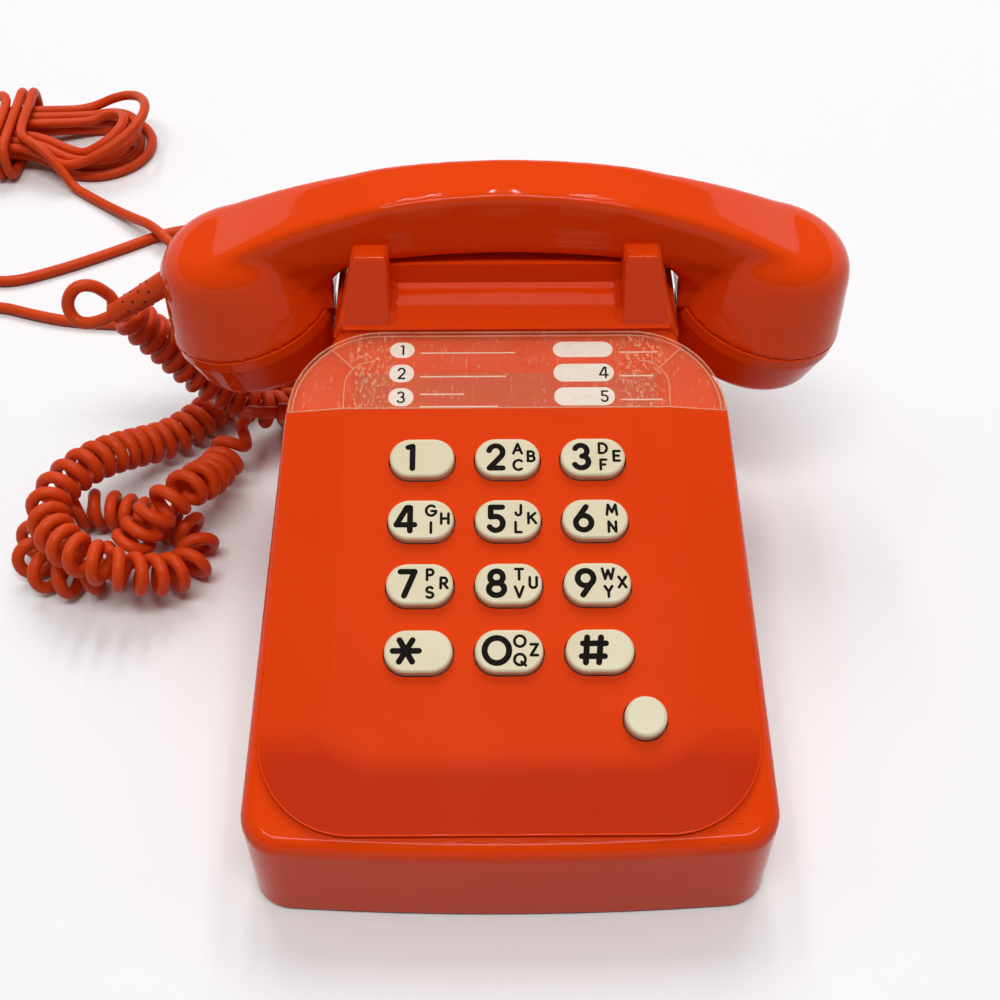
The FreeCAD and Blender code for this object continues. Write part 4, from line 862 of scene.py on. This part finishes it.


# The clear window: its outline, its raised middle and the pale strokes along its rim and folds, painted
# highlights for the light caught in the moulding's edges
windowEdges = {
    "halfTop": 68.4, "halfBottom": 71.5, "topV": 78.4, "bottomV": -82.0, "cornerRadius": 29.0,
    "endV": 49.3, "border": 2.0, "plateau": 4.5, "plateauHalf": 51.0, "plateauV": 66.0,
    "plateauRadius": 9.0, "foldTurn": 55.0, "foldStart": 5, "foldSteps": 8, "rimSteps": 12,
    "insets": [0.35, 1.7], "stroke": 0.42,
}


# Labels printed on the window: pale pills with plain numbers, and rules to write on
labelPrint = {
    "rows": [70.6, 61.6, 53.1], "stand": 0.03, "pillThickness": 0.08, "pillHeight": 6.4,
    "pillSteps": 16, "leftPill": (-33.1, 7.8), "rightPill": (24.3, 19.0), "rightNumberX": 30.6,
    "leftNumbers": ["1", "2", "3"], "rightNumbers": ["", "4", "5"], "numberHeight": 3.6,
    "numberStroke": 0.6, "ruleStroke": 0.5, "ruleDrop": 1.2, "ruleSpread": 4.4, "printThickness": 0.1,
    "leftRules": [[(-27.0, 2.5)], [(-27.0, -0.5)], [(-27.0, -13.5), (-27.0, -3.0)]],
    "rightRules": [[(36.0, 48.0)], [(36.0, 46.0)], [(36.0, 48.5)]],
}


def windowHeight(window, v):
    share = max(v - window["plateauV"], 0) / (window["topV"] - window["plateauV"])
    return window["plateau"] - (window["plateau"] - window["border"]) * share


def addLabel(mesh, stand):
    for vertex in mesh.vertices:
        vertex.co.z += (windowHeight(windowEdges, vertex.co.y / mm) + stand) * mm
    mesh.transform(onSlope)
    addPiece(mesh, "base").visible_shadow = False


def pillOutline(x, y, width, height, steps):
    radius = height / 2
    reach = width / 2 - radius
    right = arc(x + reach, y, radius, radius, -90, 90, steps)
    return right + arc(x - reach, y, radius, radius, 90, 270, steps)


def makePills(spec):
    shape = bmesh.new()
    for row in spec["rows"]:
        for x, width in (spec["leftPill"], spec["rightPill"]):
            outline = pillOutline(x, row, width, spec["pillHeight"], spec["pillSteps"])
            rings = []
            for height in (0, spec["pillThickness"]):
                rings.append([shape.verts.new((a * mm, b * mm, height * mm)) for a, b in outline])
            loft(shape, rings, smooth=False, firstEnd=False)
    mesh = meshFrom("labelPills", shape)
    mesh.materials.append(labelWhite)
    addLabel(mesh, spec["stand"])


def makeLabelMarks(spec):
    numbers = []
    rules = []
    columns = ("rows", "leftNumbers", "rightNumbers", "leftRules", "rightRules")
    for row, left, right, leftRules, rightRules in zip(*(spec[key] for key in columns)):
        numbers += placedGlyph(left, spec["leftPill"][0], row, spec["numberHeight"])
        if right:
            numbers += placedGlyph(right, spec["rightNumberX"], row, spec["numberHeight"])
        spread = spec["ruleSpread"] if len(leftRules) > 1 else 0
        lines = [(start, end, spread * (0.5 - k)) for k, (start, end) in enumerate(leftRules)]
        for start, end, shift in lines + [(start, end, 0) for start, end in rightRules]:
            v = row - spec["ruleDrop"] + shift
            rules.append([(start, v, 0), (end, v, 0)])
    thickness, stand = spec["printThickness"], spec["stand"]
    mesh = strokeMesh("labelNumbers", numbers, spec["numberStroke"], thickness, ink)
    addLabel(mesh, stand + spec["pillThickness"])
    mesh = strokeMesh("labelRules", rules, spec["ruleStroke"], thickness, rulePaint)
    addLabel(mesh, stand)


rulePaint = dullMould("rulePaint", (246, 214, 196), (232, 176, 150), 0.45)
makePills(labelPrint)
makeLabelMarks(labelPrint)


# The lean of the panel's sides, which come nearer to each other towards the top
def sideLean(spec):
    return atan((spec["halfBottom"] - spec["halfTop"]) / (spec["topV"] - spec["bottomV"]))


def mirrored(path):
    return [(-x, v, w) for x, v, w in reversed(path)]


def rimArc(spec, inset, turn):
    reach = spec["cornerRadius"] * tan((pi / 2 - sideLean(spec)) / 2)
    radius = spec["cornerRadius"] - inset
    return (spec["halfTop"] - reach + radius * cos(turn),
            spec["topV"] - spec["cornerRadius"] + radius * sin(turn), spec["border"])


def rimPath(spec, inset):
    lean = sideLean(spec)
    steps = spec["rimSteps"]
    turns = [pi / 2 - (pi / 2 - lean) * k / steps for k in range(steps + 1)]
    right = [rimArc(spec, inset, turn) for turn in turns]
    endX = right[-1][0] + (right[-1][1] - spec["endV"]) * tan(lean)
    right.append((endX, spec["endV"], spec["border"]))
    return mirrored(right) + right


def foldPaths(spec):
    half, top, radius = spec["plateauHalf"], spec["plateauV"], spec["plateauRadius"]
    corner = [(half, spec["endV"])]
    corner += arc(half - radius, top - radius, radius, radius, 0, 90, spec["foldSteps"])
    start = (*corner[spec["foldStart"]], spec["plateau"])
    end = rimArc(spec, spec["insets"][1], radians(spec["foldTurn"]))
    paths = []
    for side in (1, -1):
        paths.append([(side * x, v, spec["plateau"]) for x, v in corner])
        paths.append([(side * x, v, w) for x, v, w in (start, end)])
    return paths


def edgePaths(spec):
    rims = [rimPath(spec, inset) for inset in spec["insets"]]
    lower = [(spec["plateauHalf"], spec["endV"], spec["plateau"]), rims[0][-1]]
    return rims + foldPaths(spec) + [mirrored(lower) + lower]


def strokePiece(name, paths, stroke, material):
    mesh = strokeMesh(name, paths, stroke, stroke, material)
    mesh.transform(onSlope)
    addPiece(mesh, "base")


# pale translucent strokes along the window's rim and folds: painted highlights standing in for the
# light caught in the clear edges
brightEdge = clearPlastic("brightEdge", 0.5, 0.3)
strokePiece("windowEdges", edgePaths(windowEdges), windowEdges["stroke"], brightEdge)
print("window and label done")


# Rounded lip along the panel's edge below the window
panelLip = {"cornerRadius": 27.0, "inset": 0.25, "height": 1.85, "stroke": 0.55, "steps": 16}


def lipPath(spec, window):
    lean = sideLean(window)
    centreX = window["halfBottom"] - spec["cornerRadius"] * tan((pi / 2 + lean) / 2)
    centreV = window["bottomV"] + spec["cornerRadius"]
    radius = spec["cornerRadius"] - spec["inset"]
    corner = arc(centreX, centreV, radius, radius, degrees(lean), -90, spec["steps"])
    top = (corner[0][0] - (window["endV"] - corner[0][1]) * tan(lean), window["endV"])
    right = [(x, v, spec["height"]) for x, v in [top] + corner]
    return right + mirrored(right)


lip = lipPath(panelLip, windowEdges)
strokePiece("panelLip", [lip], panelLip["stroke"], glossy)


# Rounded skins of the front cradle forks, which flow into the deck and out to the neck's sides
cradleFork = {
    "rootZ": 84.0, "topZ": 110.8, "innerX": 37.8, "footX": 52.5, "topX": 48.3, "frontY": 49.7,
    "backY": 65.2, "lean": 20.8, "stand": 0.7, "corner": 2.3, "leastCorner": 0.3, "crown": 2.2,
    "crownRise": 0.3, "deck": 3.3, "fillet": 2.6, "flare": 3.0, "flareFall": 1.6, "leastY": 50.2,
    "levels": 26, "crownLevels": 6, "innerSteps": 8, "cornerSteps": 6, "outerSteps": 3,
    "sharpAngle": 50.0,
}


def deckHeight(spec, y):
    slope = slopeOrigin.z / mm + (y - slopeOrigin.y / mm) * tan(slopeAngle)
    return slope + spec["deck"] / cos(slopeAngle)


def forkOutline(spec, z, inset):
    rise = z - spec["rootZ"]
    share = min(rise / (spec["topZ"] - spec["rootZ"]), 1)
    grow = spec["stand"] - inset
    inner = spec["innerX"] - grow
    outer = spec["footX"] + (spec["topX"] - spec["footX"]) * share + grow
    front = spec["frontY"] + rise * tan(radians(spec["lean"])) - grow
    back = spec["backY"] - inset
    radius = max(spec["corner"] - inset, spec["leastCorner"])
    bend = front + radius
    edge = []
    for k in range(spec["innerSteps"]):
        edge.append((inner, back + (bend - back) * k / spec["innerSteps"], -1, 0))
    for centre, start in ((inner + radius, 180), (outer - radius, 270)):
        for across, along in arc(0, 0, 1, 1, start, start + 90, spec["cornerSteps"]):
            edge.append((centre + radius * across, bend + radius * along, across, along))
    for k in range(spec["outerSteps"]):
        edge.append((outer, bend + (back - bend) * (k + 1) / spec["outerSteps"], 1, 0))
    flare = spec["flare"] * (1 - share) ** spec["flareFall"]
    places = []
    for x, y, across, along in edge:
        gap = clamp((z - deckHeight(spec, y)) / spec["fillet"])
        web = spec["fillet"] * (1 - sqrt(1 - (1 - gap) ** 2))
        out = max(across, 0)
        push = web * (1 - out) + flare * out
        places.append(Vector((x + across * push, max(y + along * push, spec["leastY"]), z)) * mm)
    return places


def makeCradleFork(spec, side):
    root, crown, count = spec["rootZ"], spec["crown"], spec["levels"]
    bend = spec["topZ"] + spec["crownRise"] - crown
    levels = [(0, root + (bend - root) * k / count) for k in range(count)]
    levels += arc(crown, bend, -crown, crown, 0, 90, spec["crownLevels"])
    shape = bmesh.new()
    rings = []
    for inset, z in levels:
        rings.append([shape.verts.new((side * p.x, p.y, p.z)) for p in forkOutline(spec, z, inset)])
    loft(shape, rings)[-1].smooth = True
    bmesh.ops.recalc_face_normals(shape, faces=shape.faces)
    mesh = meshFrom("cradleForkRight" if side > 0 else "cradleForkLeft", shape)
    mesh.set_sharp_from_angle(angle=radians(spec["sharpAngle"]))
    mesh.materials.append(glossy)
    addPiece(mesh, "base")


for side in (1, -1):
    makeCradleFork(cradleFork, side)
print("panel lip and cradle forks done")


# Rows of small dark dots on the sleeve at the handset's end, painted shade for the insides of its vent
# holes
sleeveVents = {
    "root": (-113.56, 74.0, 88.0), "drop": 34.0, "rootRadius": 4.2, "taper": 0.025,
    "from": 5.0, "step": 3.8, "rings": 4, "around": 6, "radius": 0.6, "sink": 0.3,
}


def dotDrawing(fineness=2):
    draw = Drawing("dots", Radius="Float", Finish="Material")
    ball = draw.node("MeshIcoSphere", Radius=draw.input("Radius"), Subdivisions=fineness)
    dots = draw.node("InstanceOnPoints", Points=draw.input("Geometry"), Instance=ball)
    draw.close(draw.node("RealizeInstances", Geometry=dots), draw.input("Finish"))
    return draw


def makeSleeveVents(spec):
    drop = radians(spec["drop"])
    axis = Vector((-cos(drop), 0, -sin(drop)))
    up = Vector((-sin(drop), 0, cos(drop)))
    side = axis.cross(up)
    places = []
    for ring in range(spec["rings"]):
        along = spec["from"] + spec["step"] * ring
        radius = spec["rootRadius"] - spec["taper"] * along - spec["sink"]
        for k in range(spec["around"]):
            turn = 2 * pi * (k + 0.5 * (ring % 2)) / spec["around"]
            spoke = up * cos(turn) + side * sin(turn)
            places.append((Vector(spec["root"]) + axis * along + spoke * radius) * mm)
    seed = addObject("ventPlaces", bpy.data.meshes.new("ventPlaces"))
    seed.data.from_pydata(places, [], [])
    # dark dots: painted shade where the vent holes would be shadowed
    ventShade = dullMould("ventDark", (96, 24, 8), (70, 16, 6), 0.6)
    vents = dotDrawing().mesh("sleeveVents", seed, Radius=spec["radius"] * mm, Finish=ventShade)
    addPiece(vents, "handset")


makeSleeveVents(sleeveVents)
print("sleeve vents done")

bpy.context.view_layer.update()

# Studio
studio = {
    "floorTone": (244, 244, 245), "bounceTone": (186, 186, 187),
    "floorRings": [(11.0, 4.5), (10.5, 2.4), (9.5, 1.1), (8.0, 0.3), (6.0, 0), (3.2, 0), (1.6, 0),
                   (0.8, 0)],
    "floorSides": 48, "paleFrom": 1.0, "paleOver": 1.2, "paleStrength": 0.96, "worldStrength": 0.15,
    "sidePlace": (3.0, 0.3, 3.6), "sideSize": (2.7, 4.2), "sidePower": 18.0,
    "frontPlace": (0.0, -1.25, 4.8), "frontSize": (3.6, 1.0), "frontPower": 124.0,
    "tubePlaces": [-1.35, -1.05, -0.15, 0.15, 1.05, 1.35], "tubeY": 3.1, "tubeZ": 4.2,
    "tubeSize": (0.05, 3.0), "tubePower": 24.0,
}


def floorDish(spec):
    shape = bmesh.new()
    turns = [2 * pi * k / spec["floorSides"] for k in range(spec["floorSides"])]
    rings = []
    for radius, z in spec["floorRings"]:
        rings.append([shape.verts.new((radius * cos(t), radius * sin(t), z)) for t in turns])
    loft(shape, rings, firstEnd=False)
    return meshFrom("floor", shape)


# Far from the object the floor keeps its tone where the lamps no longer reach it
def paleFloor(spec):
    finish = Finish("paleFloor", Roughness=0.7)
    kinds = ("Camera", "Glossy", "Transmission")
    rays = [finish.node("LightPath", output="Is %s Ray" % kind) for kind in kinds]
    seen = finish.node("Clamp", Value=rays[0] + rays[1] + rays[2])
    finish.tint(seen, spec["bounceTone"], spec["floorTone"])
    away = finish.node("VectorMath", {"operation": "LENGTH"}, "Value", Vector=finish.place())
    far = finish.node("Clamp", Value=(away - spec["paleFrom"]) / spec["paleOver"])
    glow = finish.node("Emission", Color=linear(*spec["floorTone"]), Strength=spec["paleStrength"])
    mix = finish.tree.nodes.new("ShaderNodeMixShader")
    lit = Wire(finish.tree, finish.shader.outputs[0])
    for socket, wire in zip(mix.inputs, (far * seen, lit, glow)):
        finish.feed(socket, wire)
    surface = finish.tree.nodes["Material Output"].inputs["Surface"]
    finish.feed(surface, Wire(finish.tree, mix.outputs[0]))
    return finish.material


floor = addObject("floor", floorDish(studio))
floor.data.materials.append(paleFloor(studio))

world = bpy.data.worlds.new("studio")
scene.world = world
world.use_nodes = True
background = world.node_tree.nodes["Background"]
background.inputs["Color"].default_value = (1, 1, 1, 1)
background.inputs["Strength"].default_value = studio["worldStrength"]
scene.view_settings.view_transform = "Standard"


def areaLight(name, place, size, power, aim=(0, 0, 0)):
    data = bpy.data.lights.new(name, "AREA")
    data.shape = "RECTANGLE"
    data.size, data.size_y = size
    data.energy = power
    lamp = addObject(name, data)
    lamp.location = place
    lamp.rotation_euler = (Vector(aim) - Vector(place)).to_track_quat("-Z", "Y").to_euler()
    return lamp


for side in (1, -1):
    x, y, z = studio["sidePlace"]
    lamp = areaLight("softSide", (side * x, y, z), studio["sideSize"], studio["sidePower"])
    lamp.visible_glossy = False
areaLight("softFront", studio["frontPlace"], studio["frontSize"], studio["frontPower"])
for x in studio["tubePlaces"]:
    place = (x, studio["tubeY"], studio["tubeZ"])
    areaLight("ceilingTube", place, studio["tubeSize"], studio["tubePower"], (x, studio["tubeY"], 0))
print("studio done")
